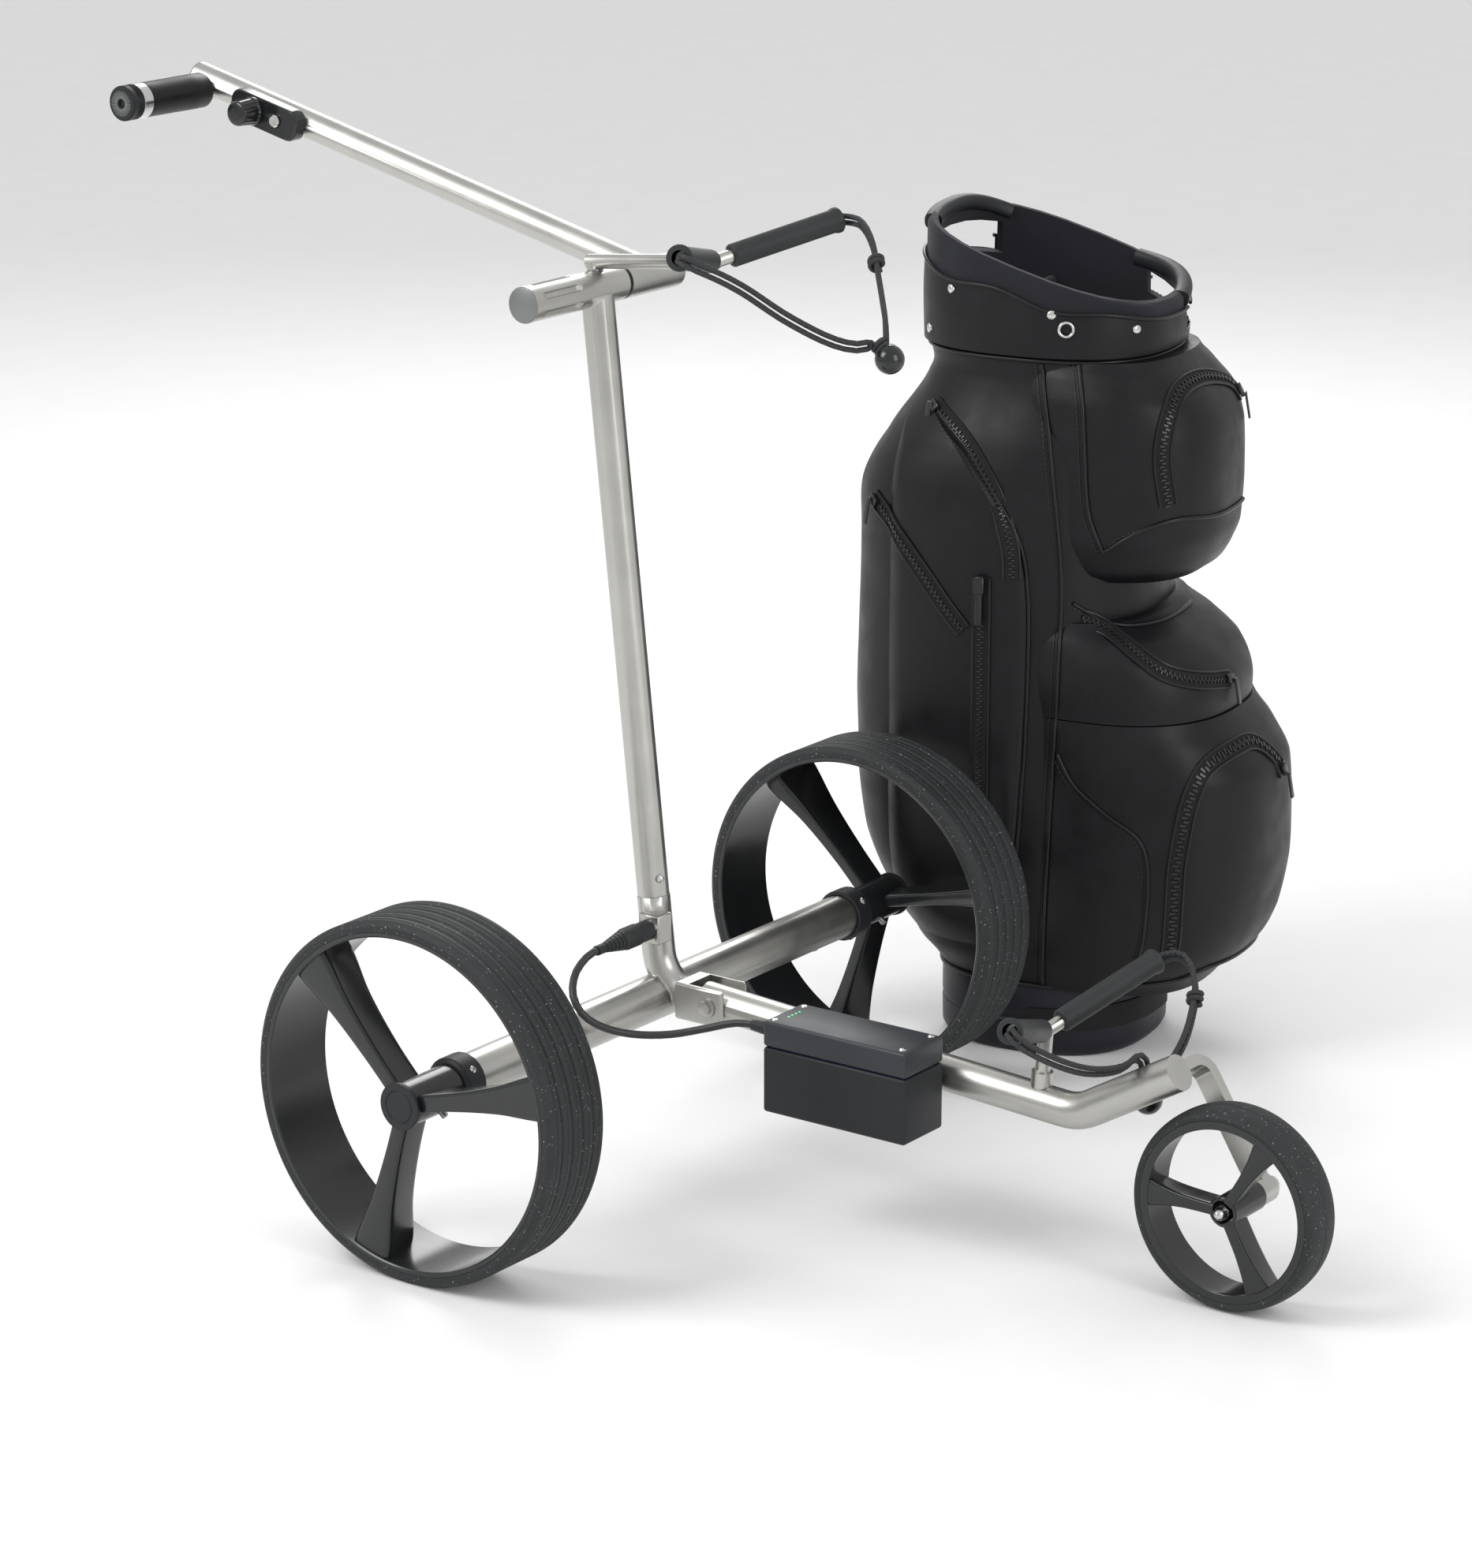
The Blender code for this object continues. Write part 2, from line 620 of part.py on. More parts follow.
def cradle(word, vertex, opening, stem, looks, carrier):
    """Steel V with its stem, and a rubber sleeve on each arm."""
    core = add(f"{word}_cradle", rod(stem, vertex, POST_RADIUS, 16), looks["steel"], carrier)
    combine(core, turned(vertex - Z * 0.0001, Z, ball_profile(POST_RADIUS + 0.0004), 16), carrier)
    for name, way in zip(("right", "left"), arm_ways(opening)):
        combine(core, rod(vertex, vertex + way * (ARM_REACH - 0.012), ARM_CORE, 16), carrier)
        start = vertex + way * 0.016
        length = ARM_REACH - 0.016
        bore = ARM_CORE + GAP
        profile = [
            (0, bore), (0, SLEEVE_RADIUS - 0.001), (0.001, SLEEVE_RADIUS), (length - 0.006, SLEEVE_RADIUS),
            (
                length - 0.004, SLEEVE_LIP
            ), (length - 0.001, SLEEVE_LIP), (length, SLEEVE_LIP - 0.001), (length, bore),
        ]
        add(f"{word}_sleeve_{name}", turned(start, way, profile, 20), looks["rubber"], carrier)
    return core


def lower_cradle(looks, carrier):
    """Its stem stands in a collar that is welded on the front tube."""
    lie = (BEND - FOLD).normalized()
    top = FOLD + lie * (LOWER_VERTEX.y - 0.0043 - FOLD.y) / lie.y
    way = (LOWER_VERTEX - top).normalized()
    core = cradle("lower", LOWER_VERTEX, LOWER_OPEN, top + way * 0.010, looks, carrier)
    combine(core, rod(top + way * 0.011, top + way * (FRONT_TUBE_RADIUS + 0.011), 0.0088, 16), carrier)
    combine(core, rod(FOLD, BEND, FRONT_TUBE_RADIUS + GAP, 20), carrier, "DIFFERENCE")


def upper_cradle(looks, carrier):
    """Its stem lies across the top of the knuckle, on a weld."""
    lift = KNUCKLE_RADIUS + 2 * GAP + POST_RADIUS
    across = (UPPER_VERTEX - KNUCKLE).normalized()
    tilt = math.asin(lift / (UPPER_VERTEX - KNUCKLE).length)
    way = Matrix.Rotation(-tilt, 3, X) @ across
    touch = UPPER_VERTEX - way * (UPPER_VERTEX - KNUCKLE).dot(way)
    core = cradle("upper", UPPER_VERTEX, UPPER_OPEN, touch - way * 0.006, looks, carrier)
    down = (KNUCKLE - touch).normalized()
    combine(core, rod(touch, touch + down * (POST_RADIUS + 0.006), 0.0068, 16), carrier)
    combine(
        core, rod(KNUCKLE - X * 0.05, KNUCKLE + X * 0.05, KNUCKLE_RADIUS + GAP, 24), carrier, "DIFFERENCE"
    )


def ball_profile(radius, steps=8):
    return [
        (
            -radius * math.cos(math.pi * i / steps),
            radius * math.sin(math.pi * i / steps) if 0 < i < steps else 0
        )
        for i in range(steps + 1)
    ]


def shock_cord(word, vertex, opening, routes, ball, looks, carrier):
    """Two doubled strands, each out of an arm's end, and the ball that the first loop hooks over."""
    for name, way, route in zip(("right", "left"), arm_ways(opening), routes):
        start = [vertex + way * (ARM_REACH - 0.007), vertex + way * (ARM_REACH + 0.001)]
        beside = way.cross(Vector(route[1]) - start[1])
        points = doubled(start + route, STRAND_GAP, beside, 20)
        cord(f"{word}_cord_{name}", points, CORD_RADIUS, looks["rubber"], carrier, 1)
    add(f"{word}_ball", turned(ball, Z, ball_profile(BALL_RADIUS), 14), looks["rubber"], carrier)


# Mast and handle
def mast(looks, carrier, button_carrier):
    steel = looks["steel"]
    up = (KNUCKLE - SEAM).normalized()
    length = (KNUCKLE - SEAM).length
    tube = add("mast_tube", rod(SEAM, KNUCKLE, MAST_RADIUS), steel, carrier)
    knuckle = rod(KNUCKLE - X * 0.0265, KNUCKLE + X * 0.0250, KNUCKLE_RADIUS)
    combine(tube, knuckle, carrier)
    bore = rod(SEAM - up * 0.01, SEAM + up * (length - KNUCKLE_RADIUS - 0.002), MAST_RADIUS - MAST_WALL)
    combine(tube, bore, carrier, "DIFFERENCE")
    combine(tube, rod(KNUCKLE - X * 0.05, KNUCKLE + X * 0.05, BOLT_RADIUS + GAP, 16), carrier, "DIFFERENCE")
    place, out = mast_button_axis()
    hole = MAST_BUTTON_RADIUS + GAP
    combine(tube, rod(place, place + out * 0.02, hole, 12), carrier, "DIFFERENCE")
    r = MAST_BUTTON_RADIUS
    start = MAST_RADIUS - MAST_WALL + GAP
    button = [(0, 0), (0, r), (0.0030, r), (0.0042, r - 0.0015), (0.0044, 0)]
    add("mast_button", turned(place + out * start, out, button, 12), looks["chrome"], button_carrier)


def mast_button_axis():
    """On the mast's axis at the spring button's height, and the way the button faces."""
    up = (KNUCKLE - SEAM).normalized()
    out = Vector((0.40, 0.92, 0))
    return on_mast(BUTTON_HEIGHT), (out - up * out.dot(up)).normalized()


def on_handle(distance):
    """A point on the handle tube's axis, from the knuckle outwards."""
    way = Vector((0, -math.cos(HANDLE_RISE), math.sin(HANDLE_RISE)))
    return Vector((HANDLE_X, KNUCKLE.y, KNUCKLE.z)) + way * distance


def handle(looks, carrier):
    steel = looks["steel"]
    tube = add("handle_tube", rod(on_handle(0), on_handle(HANDLE_LENGTH), HANDLE_RADIUS), steel, carrier)
    inner, outer = KNUCKLE - X * 0.0305, KNUCKLE - X * 0.1010
    combine(tube, rod(outer, inner, KNUCKLE_RADIUS), carrier)
    grip = grip_axis()
    combine(
        tube, rod(Vector((HANDLE_X, grip.y, grip.z)), grip + X * (GRIP_END - 0.004), GRIP_BORE - GAP, 16),
        carrier
    )
    hollow = rod(
        on_handle(KNUCKLE_RADIUS + 0.002), on_handle(HANDLE_LENGTH + 0.01), HANDLE_RADIUS - HANDLE_WALL
    )
    combine(tube, hollow, carrier, "DIFFERENCE")
    combine(tube, rod(outer - X * 0.01, inner + X * 0.02, BOLT_RADIUS + GAP, 16), carrier, "DIFFERENCE")
    plug = HANDLE_RADIUS - HANDLE_WALL - GAP
    way = (on_handle(1) - on_handle(0)).normalized()
    cap = [
        (-0.006, 0), (-0.006, plug), (GAP, plug), (GAP, HANDLE_RADIUS), (0.0015, HANDLE_RADIUS - 0.0003),
        (0.0032, HANDLE_RADIUS - 0.004), (0.0035, 0)
    ]
    add("handle_end_plug", turned(on_handle(HANDLE_LENGTH), way, cap), looks["chrome"], carrier)


def grip_axis():
    """Where the grip's axis crosses the trolley's middle plane."""
    place = on_handle(GRIP_STATION)
    return Vector((0, place.y, place.z - GRIP_DROP))


def grip(looks, carrier):
    axis = grip_axis()
    length = GRIP_END - GRIP_START
    sleeve = [
        (0, GRIP_BORE), (
            0, GRIP_RADIUS - 0.002
        ), (0.002, GRIP_RADIUS), (length, GRIP_RADIUS), (length, GRIP_BORE)
    ]
    add("grip", turned(axis + X * GRIP_START, X, sleeve), looks["leather"], carrier)
    cap = [
        (0, 0), (0, GRIP_RADIUS), (0.0045, GRIP_RADIUS), (0.0045, GRIP_RADIUS - 0.001), (
            0.0060, GRIP_RADIUS - 0.0015
        ),
        (0.0060, 0.0035), (0.0040, 0.0030), (0.0040, 0),
    ]
    add("grip_end_cap", turned(axis + X * (GRIP_END + GAP), X, cap), looks["plastic"], carrier)


def housing_frame():
    """The control housing's axes: along the handle, across it, and out to the right."""
    way = (on_handle(1) - on_handle(0)).normalized()
    return way, X.cross(way).normalized()


def controls(looks, carrier, knob_carrier, button_carrier):
    way, across = housing_frame()
    back = HANDLE_RADIUS + GAP
    half, high = HOUSING_LENGTH / 2, HOUSING_HEIGHT / 2
    outline = []
    for corner, angle in (((1, 1), 0), ((-1, 1), 90), ((-1, -1), 180), ((1, -1), 270)):
        for step in range(5):
            turn = math.radians(angle + 22.5 * step)
            outline.append((
                corner[0] * (half - 0.009) + 0.009 * math.cos(turn),
                corner[1] * (high - 0.009) + 0.009 * math.sin(turn)
            ))
    centre = on_handle(HOUSING_STATION)
    rings = []
    for depth, shrink in ((back, 1), (back + HOUSING_DEPTH - 0.0015, 1), (back + HOUSING_DEPTH, 0.95)):
        rings.append([centre + X * depth + way * a * shrink + across * b * shrink for a, b in outline])
    housing = add("control_housing", lofted(rings), looks["gloss"], carrier)
    face = back + HOUSING_DEPTH
    power = on_handle(POWER_STATION) + X * face
    combine(housing, rod(power + X * 0.005, power - X * 0.008, POWER_RADIUS + GAP, 16), carrier, "DIFFERENCE")
    knob = on_handle(SPEED_KNOB_STATION) + X * face
    combine(housing, rod(knob + X * 0.005, knob - X * 0.008, 0.0030 + GAP, 12), carrier, "DIFFERENCE")
    r = SPEED_KNOB_RADIUS
    profile = [
        (-0.0070, 0), (-0.0070, 0.0030), (GAP, 0.0030), (GAP, r), (0.003, r), (0.005, r - 0.0008), (0.020, r - 0.0018),
        (0.022, r - 0.0035), (0.022, 0.004), (0.0212, 0.003), (0.0212, 0),
    ]
    add("speed_knob", turned(knob, X, profile), looks["gloss"], knob_carrier)
    r = POWER_RADIUS
    profile = [(-0.0050, 0), (-0.0050, r), (0.0020, r), (0.0032, r - 0.001), (0.0032, r - 0.002), (0.0018, 0)]
    add("power_button", turned(power, X, profile, 16), looks["chrome"], button_carrier)


def fold_knob(looks, carrier):
    """The clamp: a milled barrel whose bolt runs through both halves of the knuckle."""
    start = KNUCKLE + X * (0.0250 + GAP)
    r = KNUCKLE_RADIUS + 0.0004
    reach = 0.0250 + 0.0900
    profile = [
        (-reach, 0), (-reach, BOLT_RADIUS), (0, BOLT_RADIUS), (0, r), (0.0700, r), (0.0710, r - 0.0010), (0.0710, 0),
    ]
    add("fold_knob", turned(start, X, profile), looks["steel"], carrier)


# Battery and lead
def shell(low, high, wall, open_top):
    """A box with walls, open above or below, with rounded outer edges."""
    return block(low, high, bevel=0.003, segments=2), block(
        Vector((low.x + wall, low.y + wall, low.z + wall if open_top else low.z - 0.01)),
        Vector((high.x - wall, high.y - wall, high.z + 0.01 if open_top else high.z - wall)),
    )


def battery(looks, carrier):
    low, high = BATTERY_LOW, BATTERY_HIGH
    outer, inner = shell(low, Vector((high.x, high.y, BATTERY_SEAM)), BATTERY_WALL, True)
    case = add("battery_case", outer, looks["plastic"], carrier)
    combine(case, inner, carrier, "DIFFERENCE")
    outer, inner = shell(Vector((low.x, low.y, BATTERY_SEAM + GAP)), high, BATTERY_WALL, False)
    lid = add("battery_lid", outer, looks["plastic"], carrier)
    combine(lid, inner, carrier, "DIFFERENCE")
    combine(lid, rod(GLAND - Y * 0.01, GLAND + Y * 0.01, 0.0042 + GAP, 12), carrier, "DIFFERENCE")
    inset = BATTERY_WALL + 0.001
    cells = block(
        low + Vector((inset, inset, BATTERY_WALL + GAP)),
        high - Vector((inset, inset, BATTERY_WALL + 0.019)), 0.002, 1
    )
    add("battery_cells", cells, looks["wrap"], carrier)
    plate = block(
        Vector(
            (FRONT_TUBE_RADIUS + GAP, low.y + 0.035, 0.1200)
        ), Vector((low.x - GAP, high.y - 0.035, 0.1520)), 0.0006, 1
    )
    add("battery_bracket", plate, looks["steel"], carrier)
    gland = [
        (-0.0075, 0.0042), (-0.0075, LEAD_RADIUS + GAP), (0.0230, LEAD_RADIUS + GAP), (
            0.0230, LEAD_RADIUS + 0.0012
        ),
        (0.0060, 0.0062), (GAP, 0.0070), (GAP, 0.0042),
    ]
    add("lead_gland", turned(GLAND, -Y, gland, 16), looks["rubber"], carrier)


def power_plug(looks, carrier):
    r = 0.0085
    socket = [(-0.0125, 0), (-0.0125, r), (0.0010, r), (0.0010, 0.0062), (-0.0080, 0.0062), (-0.0080, 0)]
    add("power_socket", turned(PLUG_START, X, socket, 16), looks["chrome"], carrier)
    plug = [
        (-0.0075, 0), (-0.0075, 0.0058), (0.0013, 0.0058), (0.0013, 0.0086), (0.0150, 0.0086), (0.0170, 0.0094),
        (0.0330, 0.0090), (0.0560, 0.0046), (0.0700, 0.0042), (0.0700, 0),
    ]
    add("power_plug", turned(PLUG_START, X, plug, 20), looks["rubber"], carrier)


# Bag
def oval(side, front, middle, height, tilt=0.0, sides=28):
    """A rounded outline: half sizes to the side and to the front, its middle forward of the bag's axis."""
    ring = []
    for i in range(sides):
        angle = math.tau * i / sides
        c, s = math.cos(angle), math.sin(angle)
        across = side * math.copysign(abs(c) ** (2 / BAG_POWER), c)
        ahead = front * math.copysign(abs(s) ** (2 / BAG_POWER), s)
        ring.append(Vector((across, middle + ahead, height - tilt * ahead / front)))
    return ring


def body_rings(grow=0.0):
    """The bag's main tube from its base to its shoulder."""
    stations = [
        (BAG_BASE_TOP, 0.0975, 0.0975, 0.0), (0.091, 0.108, 0.108, -0.012), (0.143, 0.124, 0.122, -0.028),
        (0.185, BAG_SIDE, 0.133, -0.038), (0.240, BAG_SIDE, 0.137, -0.043), (0.460, BAG_SIDE, 0.137, -0.043),
        (0.510, BAG_SIDE, 0.136, -0.042), (0.550, 0.120, 0.126, -0.030), (0.610, 0.0985, 0.1075, -0.010),
        (BAG_BODY_TOP, 0.0985, 0.1075, -0.010),
    ]
    return [oval(a + grow, b + grow, middle, height) for height, a, b, middle in stations]


def body_and_neighbours(grow, past):
    """The bag's foot, tube and collar, a little larger and carried past both ends."""
    rings = body_rings(grow)
    collar = oval(COLLAR_SIDE + grow, COLLAR_FRONT + grow, COLLAR_MIDDLE, BAG_BODY_TOP - 0.001)
    return lofted([[p - Z * past for p in rings[0]]] + rings[:-1] + [collar, [p + Z * past for p in collar]])


def front_pocket(stations, back=-0.050):
    """Rings of a pocket from (height, half width, how far forward it stands), all starting inside the tube."""
    return [oval(side, (ahead - back) / 2, (ahead + back) / 2, height) for height, side, ahead in stations]


def bag(looks, carrier, slider_carrier):
    place = Vector(carrier["place"])

    def put(name, bm, finish, holder=carrier):
        bmesh.ops.translate(bm, verts=bm.verts, vec=place)
        return add(name, bm, finish, holder)

    def change(target, bm, operation):
        bmesh.ops.translate(bm, verts=bm.verts, vec=place)
        combine(target, bm, carrier, operation)

    foot = BAG_BASE_HALF
    base = lofted([
        oval(foot - 0.007, foot - 0.007, 0, 0), oval(foot - 0.001, foot - 0.001, 0, 0.007),
        oval(foot, foot, 0, 0.045), oval(foot - 0.001, foot - 0.001, 0, BAG_BASE_TOP - GAP),
    ])
    put("bag_base", base, looks["navy"])

    shell_body = put("bag_body", lofted(body_rings()), looks["leather"])
    inner = body_rings(-BAG_WALL)
    well_floor = oval(foot - 0.008, foot - 0.008, 0, BAG_BASE_TOP + 0.008)
    change(shell_body, lofted([well_floor] + inner[1:] + [[p + Z * 0.03 for p in inner[-1]]]), "DIFFERENCE")

    # Collar with a top that slopes down to the front: its rim is a handle over each of two windows
    low = BAG_BODY_TOP + GAP
    side, ahead, middle = COLLAR_SIDE, COLLAR_FRONT, COLLAR_MIDDLE
    middle_up, slope = (COLLAR_BACK_TOP + COLLAR_FRONT_TOP) / 2, (COLLAR_BACK_TOP - COLLAR_FRONT_TOP) / 2
    collar = lofted([
        oval(side - 0.003, ahead - 0.003, middle, low), oval(side, ahead, middle, low + 0.006),
        oval(side, ahead, middle, low + 0.014), oval(
            side - 0.001, ahead - 0.001, middle, middle_up - 0.004, slope
        ),
        oval(side - 0.004, ahead - 0.004, middle, middle_up, slope),
    ])
    top = put("bag_collar", collar, looks["velour"])
    wall = 0.009
    inside = lofted([
        oval(side - wall, ahead - wall, middle, low - 0.02), oval(
            side - wall, ahead - wall, middle, low + 0.012
        ),
        oval(side - wall, ahead - wall, middle, middle_up + 0.02, slope),
    ])
    change(top, inside, "DIFFERENCE")
    windows = [
        (-0.072, 0.030, -0.160, -0.092, (0.044, 0.016)), (-0.150, -0.030, 0.040, 0.150, (0.032, 0.013)),
    ]
    for left, right, rear, fore, drops in windows:
        corners = [(left, rear), (right, rear), (right, fore), (left, fore)]
        rings = []
        for drop in drops:
            heights = [middle_up - slope * (f - middle) / ahead - drop for _, f in corners]
            rings.append([Vector((s, f, up)) for (s, f), up in zip(corners, heights)])
        change(top, lofted(rings), "DIFFERENCE")

    # The divider stands in the body, so that clubs have three wells
    wall = 0.004
    low_wall, high_wall, cross = 0.090, 0.668, -0.052
    divider = put(
        "bag_divider", block(
            (-0.130, cross - wall / 2, low_wall), (0.130, cross + wall / 2, high_wall)
        ), looks["velour"]
    )
    change(divider, block((-wall / 2, cross, low_wall), (wall / 2, 0.130, high_wall)), "UNION")
    room = body_rings(-0.0015 - BAG_WALL)[1:]
    room_floor = oval(foot - 0.0095, foot - 0.0095, 0, BAG_BASE_TOP + 0.009)
    change(divider, lofted([room_floor] + room + [[p + Z * 0.08 for p in room[-1]]]), "INTERSECT")

    split = POCKET_SPLIT
    pockets = {
        "upper_pocket": [
            (0.440, 0.085, 0.130), (0.460, 0.100, 0.148), (0.480, 0.105, 0.155), (0.570, 0.105, 0.155),
            (0.600, 0.104, 0.145), (0.622, 0.098, 0.125), (0.634, 0.092, 0.114),
        ],
        "ball_pocket": [
            (split, 0.118, 0.171), (0.345, 0.118, 0.168), (0.371, 0.117, 0.155), (0.390, 0.114, 0.130),
            (0.406, 0.108, 0.104),
        ],
        "lower_pocket": [
            (0.066, 0.098, 0.150), (0.100, 0.112, 0.185), (0.130, 0.117, 0.200), (0.180, 0.118, 0.208),
            (0.270, 0.118, 0.208), (0.300, 0.118, 0.190), (split - GAP, 0.118, 0.172),
        ],
    }
    rings = {name: front_pocket(stations) for name, stations in pockets.items()}
    for name, outline in rings.items():
        pocket = put(name, lofted(outline), looks["leather"])
        change(pocket, body_and_neighbours(2 * GAP, 0.06), "DIFFERENCE")

    pad = put("side_pocket", lofted(body_rings(SIDE_PAD)), looks["leather"])
    change(pad, block((0.045, -0.118, 0.128), (0.20, 0.0275, 0.568)), "INTERSECT")
    change(pad, body_and_neighbours(2 * GAP, 0.06), "DIFFERENCE")
    for name in pockets:
        change(pad, lofted(grown(rings[name], 2 * GAP)), "DIFFERENCE")

    face = BAG_SIDE + SIDE_PAD + GAP
    zip_line, zip_top = -0.0220, 0.448
    slider = block(
        (face, zip_line - 0.005, zip_top - 0.016), (face + 0.006, zip_line + 0.005, zip_top), 0.001, 1
    )
    pull = put("side_zip_slider", slider, looks["chrome"], slider_carrier)
    tab = block(
        (
            face + 0.0035, zip_line - 0.0035, zip_top - 0.044
        ), (face + 0.0055, zip_line + 0.0035, zip_top - 0.011), 0.0005, 1
    )
    bmesh.ops.translate(tab, verts=tab.verts, vec=place)
    combine(pull, tab, slider_carrier)


def grown(rings, by):
    """The same rings, each standing out a little more from its own middle."""
    made = []
    for ring in rings:
        middle = sum(ring, Vector()) / len(ring)
        made.append([point + (point - middle).normalized() * by for point in ring])
    return [[p - Z * by for p in made[0]]] + made[1:-1] + [[p + Z * by for p in made[-1]]]


# Routes that the cords follow, chosen by hand
UPPER_NEAR = [
    (0.1118, 0.1090, 0.7985), (0.1060, 0.1190, 0.7930), (0.0960, 0.1310, 0.7860), (0.0820, 0.1460, 0.7745),
    (0.0600, 0.1680, 0.7530), (0.0360, 0.1890, 0.7350), (0.0180, 0.2020, 0.7270), (0.0070, 0.2090, 0.7270),
]
UPPER_FAR = [
    (
        -0.1120, 0.1100, 0.7990
    ), (-0.1085, 0.1200, 0.7990), (-0.0990, 0.1345, 0.7950), (-0.0860, 0.1505, 0.7843),
    (
        -0.0700, 0.1656, 0.7691
    ), (-0.0480, 0.1850, 0.7540), (-0.0270, 0.2030, 0.7400), (-0.0135, 0.2130, 0.7290),
]
UPPER_BALL = Vector((-0.0040, 0.2230, 0.7160))
LOWER_NEAR = [
    (0.1130, 0.4215, 0.2320), (0.1085, 0.4300, 0.2240), (0.0980, 0.4400, 0.2150), (0.0820, 0.4495, 0.2050),
    (0.0620, 0.4573, 0.1960), (0.0400, 0.4630, 0.1905), (0.0180, 0.4650, 0.1880), (-0.0020, 0.4640, 0.1900),
    (-0.0170, 0.4620, 0.1810), (-0.0230, 0.4610, 0.1640),
]
LOWER_FAR = [
    (
        -0.1130, 0.4220, 0.2350
    ), (-0.1170, 0.4330, 0.2370), (-0.1130, 0.4460, 0.2300), (-0.1015, 0.4570, 0.2168),
    (
        -0.0870, 0.4626, 0.2000
    ), (-0.0720, 0.4654, 0.1850), (-0.0570, 0.4640, 0.1710), (-0.0420, 0.4600, 0.1600),
]
LOWER_BALL = Vector((-0.0310, 0.4580, 0.1450))
LEAD = [
    (0.0893, 0.0009, 0.2115), (0.0930, 0.0009, 0.2115), (0.1020, -0.0016, 0.2070), (0.1160, -0.0004, 0.1985),
    (0.1290, 0.0070, 0.1875), (0.1330, 0.0165, 0.1760), (0.1260, 0.0250, 0.1650), (0.1110, 0.0345, 0.1555),
    (0.0939, 0.0486, 0.1500), (0.0775, 0.0690, 0.1500), (0.0640, 0.0930, 0.1560), (0.0565, 0.1150, 0.1630),
    (0.0550, 0.1320, 0.1655), (0.0550, 0.1420, 0.1655), (0.0550, 0.1500, 0.1655),
]


def build():
    clear_scene()
    looks = {
        "steel": material("brushed_steel", (0.62, 0.61, 0.58), 0.32, 1.0),
        "chrome": material("polished_steel", (0.72, 0.72, 0.71), 0.16, 1.0),
        "gloss": material("gloss_black", (0.012, 0.013, 0.014), 0.18),
        "plastic": material("black_plastic", (0.022, 0.024, 0.027), 0.48),
        "tyre": material("tyre_rubber", (0.030, 0.032, 0.033), 0.72),
        "rubber": material("soft_rubber", (0.035, 0.038, 0.040), 0.66),
        "leather": material("bag_leather", (0.013, 0.013, 0.015), 0.46),
        "navy": material("navy_shell", (0.014, 0.015, 0.022), 0.55),
        "velour": material("velour", (0.016, 0.017, 0.024), 0.9),
        "wrap": material("cell_wrap", (0.05, 0.12, 0.35), 0.4),
    }
    root = empty("golf_trolley", DATUM)
    root["place"] = (0, 0, 0)
    rear_chassis(looks["steel"], root)
    power_plug(looks, root)
    cord("battery_lead", LEAD[:1] + smooth_route(LEAD[1:], 30), LEAD_RADIUS, looks["rubber"], root)
    for word, side in (("right", 1), ("left", -1)):
        spin = empty(f"shaft_axis_{word}", (side * TRACK / 2, 0, WHEEL_RADIUS), root)
        release = empty(f"release_axis_{word}", release_pin_axis(side)[0], root)
        gear_motor(f"gear_motor_{word}", side, looks["steel"], root)
        axle_collar(f"axle_collar_{word}", side, looks["plastic"], root)
        drive_shaft(f"drive_shaft_{word}", side, looks["steel"], spin)
        rear_wheel(word, side, looks, spin, release)

    fold = empty("front_fold_axis", FOLD, root)
    front_spin = empty("front_wheel_axis", (FRONT_MIDDLE, FRONT_AXLE_Y, FRONT_RADIUS), root)
    ends = front_wheel(looks, front_spin)
    front_frame(looks, fold, ends)
    lower_cradle(looks, fold)
    shock_cord("lower", LOWER_VERTEX, LOWER_OPEN, (LOWER_NEAR, LOWER_FAR), LOWER_BALL, looks, fold)
    battery(looks, fold)

    post = empty("mast_axis", SEAM, root)
    mast(looks, post, empty("mast_button_axis", mast_button_axis()[0], root))
    upper_cradle(looks, post)
    shock_cord("upper", UPPER_VERTEX, UPPER_OPEN, (UPPER_NEAR, UPPER_FAR), UPPER_BALL, looks, post)

    knuckle = empty("handle_axis", KNUCKLE, root)
    handle(looks, knuckle)
    grip(looks, knuckle)
    way = on_handle(SPEED_KNOB_STATION)
    controls(
        looks, knuckle, empty("speed_axis", way, root), empty("power_axis", on_handle(POWER_STATION), root)
    )
    fold_knob(looks, empty("fold_knob_axis", KNUCKLE, root))

    bag_stand = empty("bag_datum", BAG_PLACE, root, BAG_TURN)
    bag(looks, bag_stand, bag_stand)


build()
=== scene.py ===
import math

import bmesh
import bpy
from mathutils import Matrix, Vector, noise
from mathutils.bvhtree import BVHTree


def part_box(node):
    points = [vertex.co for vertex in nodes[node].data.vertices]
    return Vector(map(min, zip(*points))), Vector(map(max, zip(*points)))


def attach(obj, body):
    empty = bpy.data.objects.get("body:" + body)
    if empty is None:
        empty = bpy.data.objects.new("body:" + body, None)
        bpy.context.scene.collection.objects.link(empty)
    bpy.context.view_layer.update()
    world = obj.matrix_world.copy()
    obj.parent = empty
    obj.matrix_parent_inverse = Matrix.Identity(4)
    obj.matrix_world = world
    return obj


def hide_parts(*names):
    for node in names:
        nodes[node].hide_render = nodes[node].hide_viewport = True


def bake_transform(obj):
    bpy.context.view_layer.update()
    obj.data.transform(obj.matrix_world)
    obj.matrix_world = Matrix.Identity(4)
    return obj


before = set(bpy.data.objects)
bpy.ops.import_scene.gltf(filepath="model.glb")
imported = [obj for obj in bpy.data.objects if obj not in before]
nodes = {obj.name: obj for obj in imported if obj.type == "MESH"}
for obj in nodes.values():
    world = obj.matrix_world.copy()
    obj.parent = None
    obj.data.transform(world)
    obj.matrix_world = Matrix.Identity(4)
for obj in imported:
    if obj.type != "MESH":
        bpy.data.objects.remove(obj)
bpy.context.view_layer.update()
print("frame loaded")

